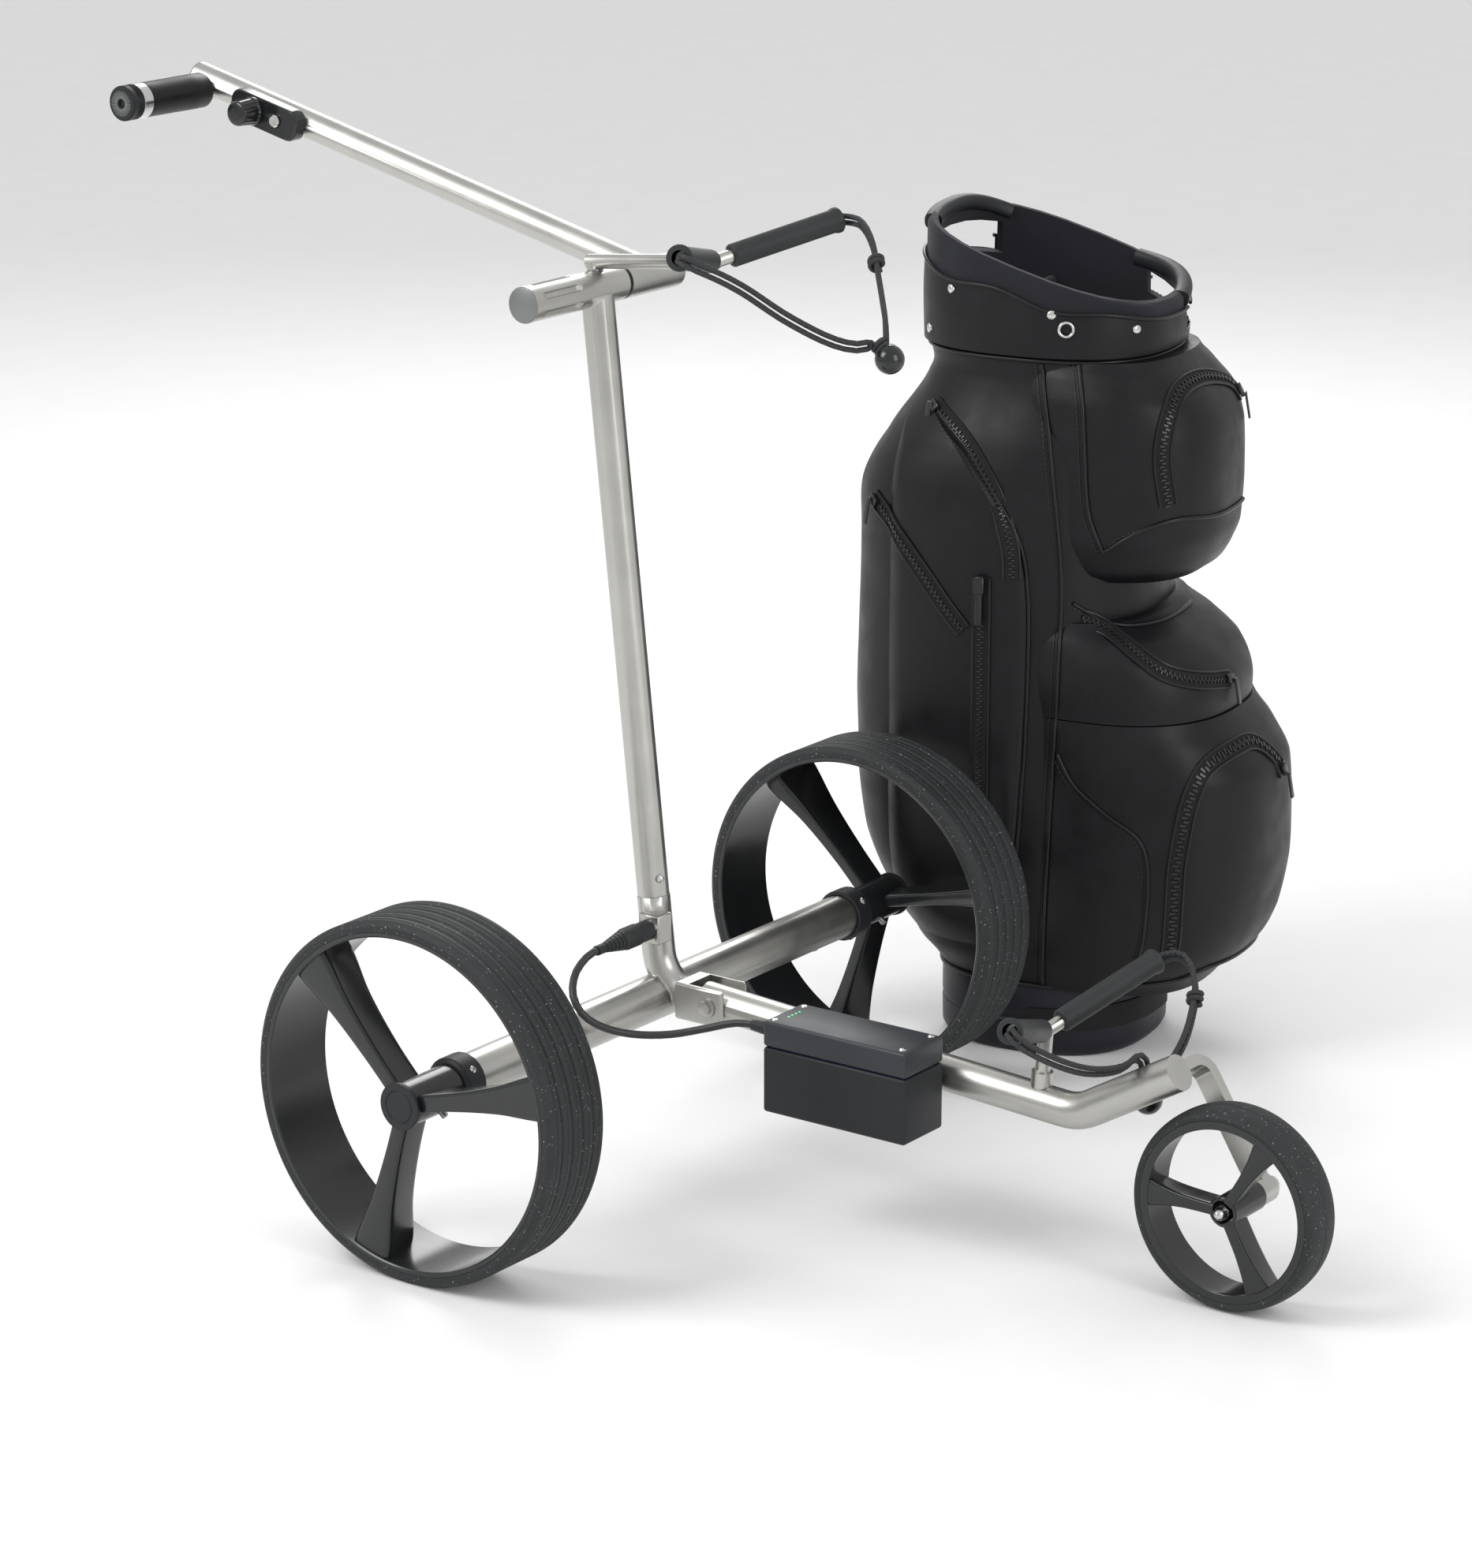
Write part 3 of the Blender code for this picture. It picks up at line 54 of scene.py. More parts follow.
xWay = Vector((1, 0, 0))
yWay = Vector((0, 1, 0))
zWay = Vector((0, 0, 1))
leftLow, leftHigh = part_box("rear_tyre_left")
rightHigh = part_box("rear_tyre_right")[1]
# the floor under the middle of the rear axle
datum = Vector(((leftLow.x + rightHigh.x) / 2, (leftLow.y + leftHigh.y) / 2, 0))
wheelRadius = leftHigh.z / 2


def middleOf(node):
    low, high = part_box(node)
    return (low + high) / 2


# camera, floor and light
view = {"place": (3.1062, 2.3492, 1.4797), "yaw": 216.18, "pitch": -16.41, "lens": 112.66, "film": 36.0}


def addCamera():
    yaw, pitch = math.radians(view["yaw"]), math.radians(view["pitch"])
    way = Vector((math.cos(yaw) * math.cos(pitch), math.sin(yaw) * math.cos(pitch), math.sin(pitch)))
    data = bpy.data.cameras.new("camera")
    data.sensor_fit = "VERTICAL"
    data.sensor_height = view["film"]
    data.lens = view["lens"]
    camera = bpy.data.objects.new("camera", data)
    camera.location = datum + Vector(view["place"])
    camera.rotation_euler = way.to_track_quat("-Z", "Y").to_euler()
    bpy.context.scene.collection.objects.link(camera)
    bpy.context.scene.camera = camera


studio = {"world": 0.78, "key": 58, "side": 30, "back": 34}


def addLight(name, place, aim, size, power):
    data = bpy.data.lights.new(name, "AREA")
    data.shape = "RECTANGLE"
    data.size, data.size_y = size
    data.energy = power
    lamp = bpy.data.objects.new(name, data)
    lamp.location = place
    lamp.rotation_euler = (Vector(aim) - Vector(place)).to_track_quat("-Z", "Y").to_euler()
    bpy.context.scene.collection.objects.link(lamp)


def addStudio():
    world = bpy.data.worlds.new("studio")
    world.use_nodes = True
    sky = world.node_tree.nodes["Background"]
    sky.inputs["Color"].default_value = (1, 1, 1, 1)
    sky.inputs["Strength"].default_value = studio["world"]
    bpy.context.scene.world = world
    bpy.context.scene.view_settings.view_transform = "Standard"
    addLight("keyLight", (2.2, -1.2, 2.6), (0, 0, 0.4), (1.6, 1.6), studio["key"])
    addLight("sideLight", (0.4, 3.0, 1.6), (0, 0, 0.4), (1.2, 2.0), studio["side"])
    addLight("backLight", (-2.4, -1.6, 2.2), (0, 0, 0.4), (1.4, 1.4), studio["back"])


# node groups that several materials use
def newGroup(name, inputs, outputs):
    group = bpy.data.node_groups.new(name, "ShaderNodeTree")
    for label, kind, value in inputs:
        socket = group.interface.new_socket(label, in_out="INPUT", socket_type=kind)
        if value is not None:
            socket.default_value = value
    for label, kind in outputs:
        group.interface.new_socket(label, in_out="OUTPUT", socket_type=kind)
    return group, group.nodes.new("NodeGroupInput"), group.nodes.new("NodeGroupOutput")


def link(tree, start, end):
    tree.links.new(start, end)


def mathNode(tree, operation, first, second=None):
    node = tree.nodes.new("ShaderNodeMath")
    node.operation = operation
    for socket, value in zip(node.inputs, (first, second)):
        if isinstance(value, (int, float)):
            socket.default_value = value
        elif value is not None:
            link(tree, value, socket)
    return node.outputs[0]


floatKind, vectorKind = "NodeSocketFloat", "NodeSocketVector"


def grainGroup():
    # fine pebbling of moulded rubber and plastic, with slow wear patches
    group, start, end = newGroup(
        "mouldedGrain", [("Vector", vectorKind, None), ("Scale", floatKind, 900.0)],
        [("Height", floatKind), ("Patches", floatKind)],
    )
    fine = group.nodes.new("ShaderNodeTexNoise")
    fine.inputs["Detail"].default_value = 3
    slow = group.nodes.new("ShaderNodeTexNoise")
    slow.inputs["Detail"].default_value = 4
    slow.inputs["Scale"].default_value = 14
    link(group, start.outputs["Vector"], fine.inputs["Vector"])
    link(group, start.outputs["Vector"], slow.inputs["Vector"])
    link(group, start.outputs["Scale"], fine.inputs["Scale"])
    link(group, fine.outputs[0], end.inputs["Height"])
    link(group, slow.outputs[0], end.inputs["Patches"])
    return group


def hideGroup():
    # leatherette: rounded cells with creases between them, over slow swells
    group, start, end = newGroup(
        "hideGrain", [("Vector", vectorKind, None), ("Scale", floatKind, 700.0)],
        [("Height", floatKind), ("Creases", floatKind)],
    )
    cells = group.nodes.new("ShaderNodeTexVoronoi")
    cells.feature = "DISTANCE_TO_EDGE"
    swell = group.nodes.new("ShaderNodeTexNoise")
    swell.inputs["Scale"].default_value = 38
    swell.inputs["Detail"].default_value = 5
    link(group, start.outputs["Vector"], cells.inputs["Vector"])
    link(group, start.outputs["Scale"], cells.inputs["Scale"])
    link(group, start.outputs["Vector"], swell.inputs["Vector"])
    crease = mathNode(group, "MINIMUM", cells.outputs["Distance"], 0.14)
    height = mathNode(group, "ADD", crease, mathNode(group, "MULTIPLY", swell.outputs[0], 0.5))
    link(group, height, end.inputs["Height"])
    link(group, swell.outputs[0], end.inputs["Creases"])
    return group


def streakGroup():
    # brushing lines round and along a tube
    group, start, end = newGroup(
        "brushing", [("Vector", vectorKind, None), ("Scale", floatKind, 60.0)],
        [("Height", floatKind), ("Smudge", floatKind)],
    )
    stretch = group.nodes.new("ShaderNodeMapping")
    stretch.inputs["Scale"].default_value = (2.0, 14.0, 40.0)
    lines = group.nodes.new("ShaderNodeTexNoise")
    lines.inputs["Detail"].default_value = 6
    smudge = group.nodes.new("ShaderNodeTexNoise")
    smudge.inputs["Scale"].default_value = 22
    smudge.inputs["Detail"].default_value = 3
    link(group, start.outputs["Vector"], stretch.inputs["Vector"])
    link(group, stretch.outputs[0], lines.inputs["Vector"])
    link(group, start.outputs["Scale"], lines.inputs["Scale"])
    link(group, start.outputs["Vector"], smudge.inputs["Vector"])
    link(group, lines.outputs[0], end.inputs["Height"])
    link(group, smudge.outputs[0], end.inputs["Smudge"])
    return group


def braidGroup():
    # two sets of crossing strands on a piece's own UV map
    group, start, end = newGroup(
        "braid", [("Vector", vectorKind, None), ("Around", floatKind, 6.0), ("Along", floatKind, 60.0)],
        [("Height", floatKind)],
    )
    split = group.nodes.new("ShaderNodeSeparateXYZ")
    link(group, start.outputs["Vector"], split.inputs[0])
    turns = []
    for place, label in enumerate(("Around", "Along")):
        count = mathNode(group, "MULTIPLY", split.outputs[place], start.outputs[label])
        turns.append(mathNode(group, "MULTIPLY", count, math.tau))
    around, along = turns
    one = mathNode(group, "SINE", mathNode(group, "ADD", around, along))
    two = mathNode(group, "SINE", mathNode(group, "SUBTRACT", around, along))
    link(group, mathNode(group, "MAXIMUM", one, two), end.inputs["Height"])
    return group


groups = {"grain": grainGroup(), "hide": hideGroup(), "brush": streakGroup(), "braid": braidGroup()}


def finish(
    name, colour, roughness, effect, scale, depth,
    spread=0.12, tint=0.25, metallic=0.0, along=None, **fixed,
):
    # one finish: an effect group drives the bump, and its slow output varies roughness and colour
    made = bpy.data.materials.new(name)
    made.use_nodes = True
    tree = made.node_tree
    shader = tree.nodes["Principled BSDF"]
    shader.inputs["Metallic"].default_value = metallic
    for label, value in fixed.items():
        shader.inputs[label.replace("_", " ")].default_value = value
    made.diffuse_color = (*colour, 1)
    where = tree.nodes.new("ShaderNodeTexCoord")
    group = tree.nodes.new("ShaderNodeGroup")
    group.node_tree = groups[effect]
    link(tree, where.outputs["UV" if effect == "braid" else "Object"], group.inputs["Vector"])
    if effect == "braid":
        group.inputs["Around"].default_value = scale
        group.inputs["Along"].default_value = along
    else:
        group.inputs["Scale"].default_value = scale
    slow = group.outputs[min(1, len(group.outputs) - 1)]
    rough = tree.nodes.new("ShaderNodeMapRange")
    rough.inputs["From Min"].default_value = 0.3
    rough.inputs["From Max"].default_value = 0.7
    rough.inputs["To Min"].default_value = roughness - spread / 2
    rough.inputs["To Max"].default_value = roughness + spread / 2
    link(tree, slow, rough.inputs["Value"])
    link(tree, rough.outputs[0], shader.inputs["Roughness"])
    ramp = tree.nodes.new("ShaderNodeValToRGB")
    ramp.color_ramp.elements[0].position = 0.3
    ramp.color_ramp.elements[1].position = 0.7
    ramp.color_ramp.elements[0].color = (*[c * (1 - tint) for c in colour], 1)
    ramp.color_ramp.elements[1].color = (*[min(1, c * (1 + tint)) for c in colour], 1)
    link(tree, slow, ramp.inputs[0])
    link(tree, ramp.outputs[0], shader.inputs["Base Color"])
    bump = tree.nodes.new("ShaderNodeBump")
    bump.inputs["Distance"].default_value = depth
    bump.inputs["Strength"].default_value = 0.6
    link(tree, group.outputs["Height"], bump.inputs["Height"])
    link(tree, bump.outputs[0], shader.inputs["Normal"])
    return made


def addSpecks(made, colour, amount):
    # pale dust specks, as on a new tyre
    tree = made.node_tree
    shader = tree.nodes["Principled BSDF"]
    base = shader.inputs["Base Color"].links[0].from_socket
    where = tree.nodes.new("ShaderNodeTexCoord")
    dots = tree.nodes.new("ShaderNodeTexNoise")
    dots.inputs["Scale"].default_value = 620
    dots.inputs["Detail"].default_value = 1
    link(tree, where.outputs["Object"], dots.inputs["Vector"])
    mask = mathNode(tree, "GREATER_THAN", dots.outputs[0], amount)
    mix = tree.nodes.new("ShaderNodeMix")
    mix.data_type = "RGBA"
    link(tree, mask, mix.inputs["Factor"])
    link(tree, base, mix.inputs["A"])
    mix.inputs["B"].default_value = (*colour, 1)
    link(tree, mix.outputs["Result"], shader.inputs["Base Color"])
    return made


steel = finish("brushedSteel", (0.47, 0.465, 0.44), 0.34, "brush", 40, 0.000012, 0.10, 0.06, 1.0)
bright = finish("polishedSteel", (0.60, 0.60, 0.585), 0.20, "brush", 60, 0.000006, 0.08, 0.05, 1.0)
satin = finish("satinDisc", (0.20, 0.205, 0.205), 0.42, "brush", 40, 0.000006, 0.08, 0.05, 0.7)
glossBlack = finish("glossMoulding", (0.012, 0.013, 0.014), 0.20, "grain", 500, 0.00002, 0.10, 0.2)
plastic = finish(
    "texturedMoulding", (0.012, 0.013, 0.015), 0.50, "grain", 1100, 0.00010, 0.12, 0.2,
    Specular_IOR_Level=0.35,
)
slate = finish("slateMoulding", (0.020, 0.024, 0.029), 0.46, "grain", 1100, 0.00012, 0.12, 0.15)
tread = finish("treadRubber", (0.017, 0.019, 0.020), 0.66, "grain", 700, 0.00016, Specular_IOR_Level=0.4)
tread = addSpecks(tread, (0.30, 0.31, 0.32), 0.735)
rubber = finish(
    "softRubber", (0.016, 0.018, 0.019), 0.55, "grain", 900, 0.00012,
    Specular_IOR_Level=0.4,
)
hide = finish(
    "blackLeatherette", (0.0048, 0.0048, 0.0062), 0.44, "hide", 620, 0.00026, 0.14, 0.25,
    Specular_IOR_Level=0.26,
)
piped = finish(
    "pipingLeatherette", (0.0040, 0.0040, 0.0055), 0.36, "hide", 900, 0.00012, 0.10, 0.2,
    Specular_IOR_Level=0.34,
)
shellBlack = finish(
    "footMoulding", (0.0075, 0.008, 0.013), 0.40, "grain", 800, 0.00010,
    Specular_IOR_Level=0.32,
)
pile = finish(
    "velourPile", (0.0050, 0.0055, 0.0100), 0.95, "grain", 1500, 0.00060, 0.05, 0.35,
    Sheen_Weight=0.10,
)
webbing = finish(
    "wovenTape", (0.0055, 0.0055, 0.0068), 0.72, "grain", 1300, 0.00035,
    Specular_IOR_Level=0.3,
)
thread = finish("sewingThread", (0.0090, 0.0090, 0.0110), 0.55, "grain", 1800, 0.00010)
toothBlack = finish("zipTeeth", (0.011, 0.011, 0.012), 0.28, "grain", 700, 0.00004)
cellWrap = finish("cellWrap", (0.05, 0.12, 0.35), 0.35, "grain", 200, 0.00005)
leadCover = finish("leadCover", (0.018, 0.019, 0.020), 0.45, "grain", 800, 0.00008)
braided = finish("braidedCord", (0.018, 0.019, 0.021), 0.66, "braid", 4, 0.0003, along=70)
lamp = finish(
    "statusLamp", (0.02, 0.45, 0.12), 0.3, "grain", 300, 0.00002,
    Emission_Color=(0.05, 0.9, 0.25, 1), Emission_Strength=0.8,
)
floorPaint = finish("studioFloor", (0.86, 0.86, 0.86), 0.75, "grain", 20, 0.0001, 0.04, 0.01)
print("materials ready")


def addFloor():
    bm = bmesh.new()
    bmesh.ops.create_grid(bm, x_segments=8, y_segments=8, size=40.0)
    mesh = bpy.data.meshes.new("floor")
    bm.to_mesh(mesh)
    bm.free()
    mesh.materials.append(floorPaint)
    floor = bpy.data.objects.new("floor", mesh)
    bpy.context.scene.collection.objects.link(floor)


# helpers that every piece uses
def settle(bm, name, look, body, replaced=(), angle=38, outward=True):
    bmesh.ops.remove_doubles(bm, verts=bm.verts, dist=1e-6)
    if outward:
        bmesh.ops.recalc_face_normals(bm, faces=bm.faces)
    mesh = bpy.data.meshes.new(name)
    bm.to_mesh(mesh)
    bm.free()
    mesh.shade_smooth()
    mesh.set_sharp_from_angle(angle=math.radians(angle))
    mesh.materials.append(look)
    piece = bpy.data.objects.new(name, mesh)
    bpy.context.scene.collection.objects.link(piece)
    if body:
        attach(piece, body)
    if replaced:
        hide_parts(*replaced)
    return piece


def aimed(start, way):
    turn = zWay.rotation_difference(Vector(way).normalized())
    return Matrix.Translation(start) @ turn.to_matrix().to_4x4()


def joinInto(target, source):
    mesh = bpy.data.meshes.new("part")
    source.to_mesh(mesh)
    source.free()
    target.from_mesh(mesh)
    bpy.data.meshes.remove(mesh)


def lathe(bm, start, way, profile, steps=48):
    # spins (distance along, radius) pairs round an axis
    turned = bmesh.new()
    rim = [turned.verts.new((radius, 0, along)) for along, radius in profile]
    edges = [turned.edges.new(pair) for pair in zip(rim, rim[1:])]
    bmesh.ops.spin(
        turned, geom=rim + edges, cent=(0, 0, 0), axis=(0, 0, 1),
        angle=math.tau, steps=steps, use_merge=True,
    )
    bmesh.ops.transform(turned, matrix=aimed(start, way), verts=turned.verts)
    joinInto(bm, turned)


def block(bm, place, axes, size):
    scale = Matrix.Diagonal((*size, 1))
    bmesh.ops.create_cube(bm, size=1, matrix=Matrix.Translation(place) @ axes @ scale)


def turnedPiece(name, start, way, profile, look, body, replaced=(), steps=48, angle=38):
    bm = bmesh.new()
    lathe(bm, start, way, profile, steps)
    return settle(bm, name, look, body, replaced, angle)


def wrapped(columns, rows, spot, closed=True, capped=True):
    # a grid bent round into a sleeve: spot gives the place for a share round and a share along
    bm = bmesh.new()
    bm.loops.layers.uv.new("surface")
    bmesh.ops.create_grid(bm, x_segments=columns, y_segments=rows, size=0.5, calc_uvs=True)
    for vert in bm.verts:
        vert.co = spot(vert.co.x + 0.5, vert.co.y + 0.5)
    if closed:
        bmesh.ops.remove_doubles(bm, verts=bm.verts, dist=1e-6)
        if capped:
            bmesh.ops.holes_fill(bm, edges=[edge for edge in bm.edges if edge.is_boundary], sides=0)
    return bm


def squared(u, share):
    # a place on a ring that is rounder near a share of 1 and squarer below it
    c, s = math.cos(u * math.tau), math.sin(u * math.tau)
    return math.copysign(abs(c) ** share, c), math.copysign(abs(s) ** share, s)


def blendStations(stations, at):
    # smooth values between the rows of a table whose first entry is the place along
    keys = [row[0] for row in stations]
    at = min(max(at, keys[0]), keys[-1])
    k = max(i for i in range(len(keys) - 1) if keys[i] <= at)
    share = (at - keys[k]) / (keys[k + 1] - keys[k])
    before, after = stations[max(k - 1, 0)], stations[min(k + 2, len(keys) - 1)]
    values = []
    for a, b, c, d in zip(before[1:], stations[k][1:], stations[k + 1][1:], after[1:]):
        bend = 2 * a - 5 * b + 4 * c - d + share * (3 * (b - c) + d - a)
        values.append(b + 0.5 * share * (c - a + share * bend))
    return values


def smoothRoute(points, count):
    points = [Vector(point) for point in points]
    reach = [0.0]
    for a, b in zip(points, points[1:]):
        reach.append(reach[-1] + (b - a).length)
    table = [(r, *p) for r, p in zip(reach, points)]
    return [Vector(blendStations(table, reach[-1] * i / (count - 1))) for i in range(count)]


def heading(path, i):
    return (path[min(i + 1, len(path) - 1)] - path[max(i - 1, 0)]).normalized()


def frames(path):
    # point, side and up along a path, turned as little as possible
    out = []
    up = None
    for i, point in enumerate(path):
        way = heading(path, i)
        if up is None:
            up = way.orthogonal().normalized() if abs(way.z) > 0.95 else (zWay - way * way.z).normalized()
        up = (up - way * way.dot(up)).normalized()
        out.append((point, way.cross(up), up))
    return out


def bar(path, width, height, power=2.0, columns=20):
    # a bar or tube swept along a path, with rounded corners when the power is above 2
    spots = frames(path)

    def spot(u, v):
        point, side, up = spots[min(int(round(v * (len(spots) - 1))), len(spots) - 1)]
        across, lift = squared(u, 2 / power)
        return point + side * (across * width / 2) + up * (lift * height / 2)

    return wrapped(columns, len(path) - 1, spot)


def routeLength(path):
    return sum((b - a).length for a, b in zip(path, path[1:]))


addCamera()
addStudio()
addFloor()
print("studio ready")

# cords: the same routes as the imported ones
cords = {
    "upperVertex": (0, 0.0561, 0.7756), "upperOpen": 27.5,
    "lowerVertex": (0, 0.3812, 0.1955), "lowerOpen": 46.5,
    "armSpread": 64.5, "armReach": 0.119, "strand": 0.0045, "gap": 0.0056, "lead": 0.0064,
    "knotTurns": 2.25, "knotRadius": 0.0050, "knotPitch": 0.0044,
    "upperRight": [
        (0.1118, 0.1090, 0.7985), (0.1060, 0.1190, 0.7930), (0.0960, 0.1310, 0.7860),
        (0.0820, 0.1460, 0.7745), (0.0600, 0.1680, 0.7530), (0.0360, 0.1890, 0.7350),
        (0.0180, 0.2020, 0.7270), (0.0070, 0.2090, 0.7270),
    ],
    "upperLeft": [
        (-0.1120, 0.1100, 0.7990), (-0.1085, 0.1200, 0.7990), (-0.0990, 0.1345, 0.7950),
        (-0.0860, 0.1505, 0.7843), (-0.0700, 0.1656, 0.7691), (-0.0480, 0.1850, 0.7540),
        (-0.0270, 0.2030, 0.7400), (-0.0135, 0.2130, 0.7290),
    ],
    "lowerRight": [
        (0.1130, 0.4215, 0.2320), (0.1085, 0.4300, 0.2240), (0.0980, 0.4400, 0.2150),
        (0.0820, 0.4495, 0.2050), (0.0620, 0.4573, 0.1960), (0.0400, 0.4630, 0.1905),
        (0.0180, 0.4650, 0.1880), (-0.0020, 0.4640, 0.1900), (-0.0170, 0.4620, 0.1810),
        (-0.0230, 0.4610, 0.1640),
    ],
    "lowerLeft": [
        (-0.1130, 0.4220, 0.2350), (-0.1170, 0.4330, 0.2370), (-0.1130, 0.4460, 0.2300),
        (-0.1015, 0.4570, 0.2168), (-0.0870, 0.4626, 0.2000), (-0.0720, 0.4654, 0.1850),
        (-0.0570, 0.4640, 0.1710), (-0.0420, 0.4600, 0.1600),
    ],
    "leadRoute": [
        (0.0893, 0.0009, 0.2115), (0.0930, 0.0009, 0.2115), (0.1020, -0.0016, 0.2070),
        (0.1160, -0.0004, 0.1985), (0.1290, 0.0070, 0.1875), (0.1330, 0.0165, 0.1760),
        (0.1260, 0.0250, 0.1650), (0.1110, 0.0345, 0.1555), (0.0939, 0.0486, 0.1500),
        (0.0775, 0.0690, 0.1500), (0.0640, 0.0930, 0.1560), (0.0565, 0.1150, 0.1630),
        (0.0550, 0.1320, 0.1655), (0.0550, 0.1420, 0.1655), (0.0550, 0.1500, 0.1655),
    ],
}


def armWay(side, opening):
    out = Vector((0, math.cos(math.radians(opening)), math.sin(math.radians(opening))))
    spread = math.radians(cords["armSpread"])
    return xWay * side * math.sin(spread) + out * math.cos(spread)


def doubled(route, gap, beside, count):
    # out along the route, round its end and back beside itself
    middle = smoothRoute(route, count)
    out, back = [], []
    for i, point in enumerate(middle):
        way = heading(middle, i)
        side = (beside - way * way.dot(beside)).normalized() * gap / 2
        out.append(point + side)
        back.append(point - side)
    way = (middle[-1] - middle[-2]).normalized()
    side = (out[-1] - back[-1]) / 2
    bend = [
        middle[-1] + side * math.cos(a) + way * gap / 2 * math.sin(a)
        for a in (math.pi * step / 6 for step in range(1, 6))
    ]
    return out + bend + back[::-1]


def addKnot(name, place, way, body):
    # a few turns of the cord round itself
    turn = zWay.rotation_difference(way.normalized()).to_matrix()
    radius, coil = cords["knotRadius"], []
    for i in range(55):
        turns = cords["knotTurns"] * i / 54
        a = math.tau * turns
        rise = cords["knotPitch"] * (turns - 1.1)
        coil.append(place + turn @ Vector((radius * math.cos(a), radius * math.sin(a), rise)))
    return settle(bar(coil, cords["strand"], cords["strand"], 2.0, 10), name, braided, body)


def addShockCords(level, body):
    opening = cords[level + "Open"]
    vertex = Vector(cords[level + "Vertex"])
    ballMiddle = middleOf(level + "_ball")
    low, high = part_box(level + "_ball")
    radius = (high.z - low.z) / 2
    profile = [
        (-radius * math.cos(math.pi * i / 24), radius * math.sin(math.pi * i / 24) if 0 < i < 24 else 0)
        for i in range(25)
    ]
    bm = bmesh.new()
    lathe(bm, ballMiddle, zWay, profile, 40)
    lathe(bm, ballMiddle + zWay * radius * 0.93, zWay, [
        (-0.001, 0.0042), (0.0008, 0.0042), (0.0008, 0.0026),
    ], 24)
    ball = settle(bm, level + "Ball", glossBlack, body, [level + "_ball"])
    ends = (Vector(cords[level + "Right"][-1]) + Vector(cords[level + "Left"][-1])) / 2 + datum
    endKnot = addKnot(level + "EndKnot", ends.lerp(ballMiddle, 0.18), ballMiddle - ends, body)
    for word, side in (("Right", 1), ("Left", -1)):
        way = armWay(side, opening)
        reach = cords["armReach"]
        route = [Vector(point) for point in cords[level + word]]
        start = [vertex + way * (reach - 0.007), vertex + way * (reach + 0.001)]
        beside = way.cross(route[1] - start[1])
        path = [datum + point for point in doubled(start + route, cords["gap"], beside, 20)]
        bm = bar(path, cords["strand"], cords["strand"], 2.0, 12)
        name = level + "Cord" + word
        piece = settle(bm, name, braided, body, [f"{level}_cord_{word.lower()}"])
        held = []
        if word == "Left":
            tie = (path[9] + path[-10]) / 2
            held = [ball, endKnot, addKnot(level + "TieKnot", tie, path[10] - path[8], body)]
        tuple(path[0])
        routeLength(path)
        print(name, "length", round(routeLength(path), 3))


def addLead():
    route = cords["leadRoute"]
    path = [datum + Vector(route[0])] + [datum + point for point in smoothRoute(route[1:], 30)]
    bm = bar(path, cords["lead"], cords["lead"], 2.0, 16)
    piece = settle(bm, "batteryLead", leadCover, None, ["battery_lead"])
    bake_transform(piece)
    routeLength(path)
    print("battery lead length", round(routeLength(path), 3))


addShockCords("upper", "mast")
addShockCords("lower", "front_frame")
addLead()
print("cords ready")


# carried shapes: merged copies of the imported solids, with softened edges where an edge shows
def carried(node, look, body, edge=0.0, angle=38):
    bm = bmesh.new()
    bm.from_mesh(nodes[node].data)
    bmesh.ops.remove_doubles(bm, verts=bm.verts, dist=2e-6)
    bmesh.ops.dissolve_limit(bm, angle_limit=math.radians(0.4), verts=bm.verts, edges=bm.edges)
    parts = node.split("_")
    name = parts[0] + "".join(part.capitalize() for part in parts[1:])
    piece = settle(bm, name, look, body, [node], angle, outward=False)
    even = piece.modifiers.new("evenShading", "WEIGHTED_NORMAL")
    even.keep_sharp = True
    even.weight = 60
    if edge:
        soften = piece.modifiers.new("edge", "BEVEL")
        soften.width = edge
        soften.segments = 2
        soften.limit_method = "ANGLE"
        soften.angle_limit = math.radians(40)
        soften.harden_normals = True
    return piece


def addMetalwork():
    carried("rear_chassis", steel, "chassis")
    for word in ("left", "right"):
        carried("gear_motor_" + word, steel, "chassis")
        carried("axle_collar_" + word, plastic, "chassis", 0.0006)
        carried("drive_shaft_" + word, steel, "shaft_" + word)
        carried("release_pin_" + word, steel, "release_" + word)
    carried("power_socket", bright, "chassis")
    for node in ("front_tube", "fold_bolt", "battery_bracket", "lower_cradle", "front_fork"):
        carried(node, steel, "front_frame")
    carried("front_axle", bright, "front_frame")
    carried("mast_tube", steel, "mast")
    carried("upper_cradle", steel, "mast")
    carried("mast_button", bright, "spring_button")
    carried("handle_tube", steel, "handle")
    carried("handle_end_plug", bright, "handle")
    carried("control_housing", glossBlack, "handle", 0.0008)
    carried("grip_end_cap", plastic, "handle")
    carried("power_button", bright, "power_switch")
    carried("battery_cells", cellWrap, "front_frame")
    carried("battery_case", plastic, "front_frame", 0.0010)
    carried("battery_lid", slate, "front_frame", 0.0010)
    carried("lead_gland", rubber, "front_frame")
    carried("side_zip_slider", toothBlack, "zip_slider", 0.0003)


addMetalwork()
print("metalwork ready")


# wheels
rearWheel = {
    "half": 0.03435, "tyreDeep": 0.0092, "groove": 0.0016, "ribs": 5, "wall": 0.004, "hub": 0.0178,
    "spokes": (13.9, 133.9, 253.9), "spokeRows": [
        (0.0128, 0.0075, 0.0055, 0.030), (0.050, 0.00825, 0.00525, 0.031),
        (0.095, 0.01225, 0.00625, 0.036), (0.1375, 0.0205, 0.0090, 0.046),
    ],
}
frontWheel = {
    "half": 0.0186, "tyreDeep": 0.0083, "wall": 0.0068, "hub": 0.0125,
    "spokes": (58.5, 178.5, 298.5), "spokeRows": [
        (0.0085, 0.0050, 0.0030, 0.026), (0.034, 0.00575, 0.0035, 0.026),
        (0.052, 0.00825, 0.00425, 0.027), (0.0722, 0.01325, 0.0060, 0.029),
    ],
}


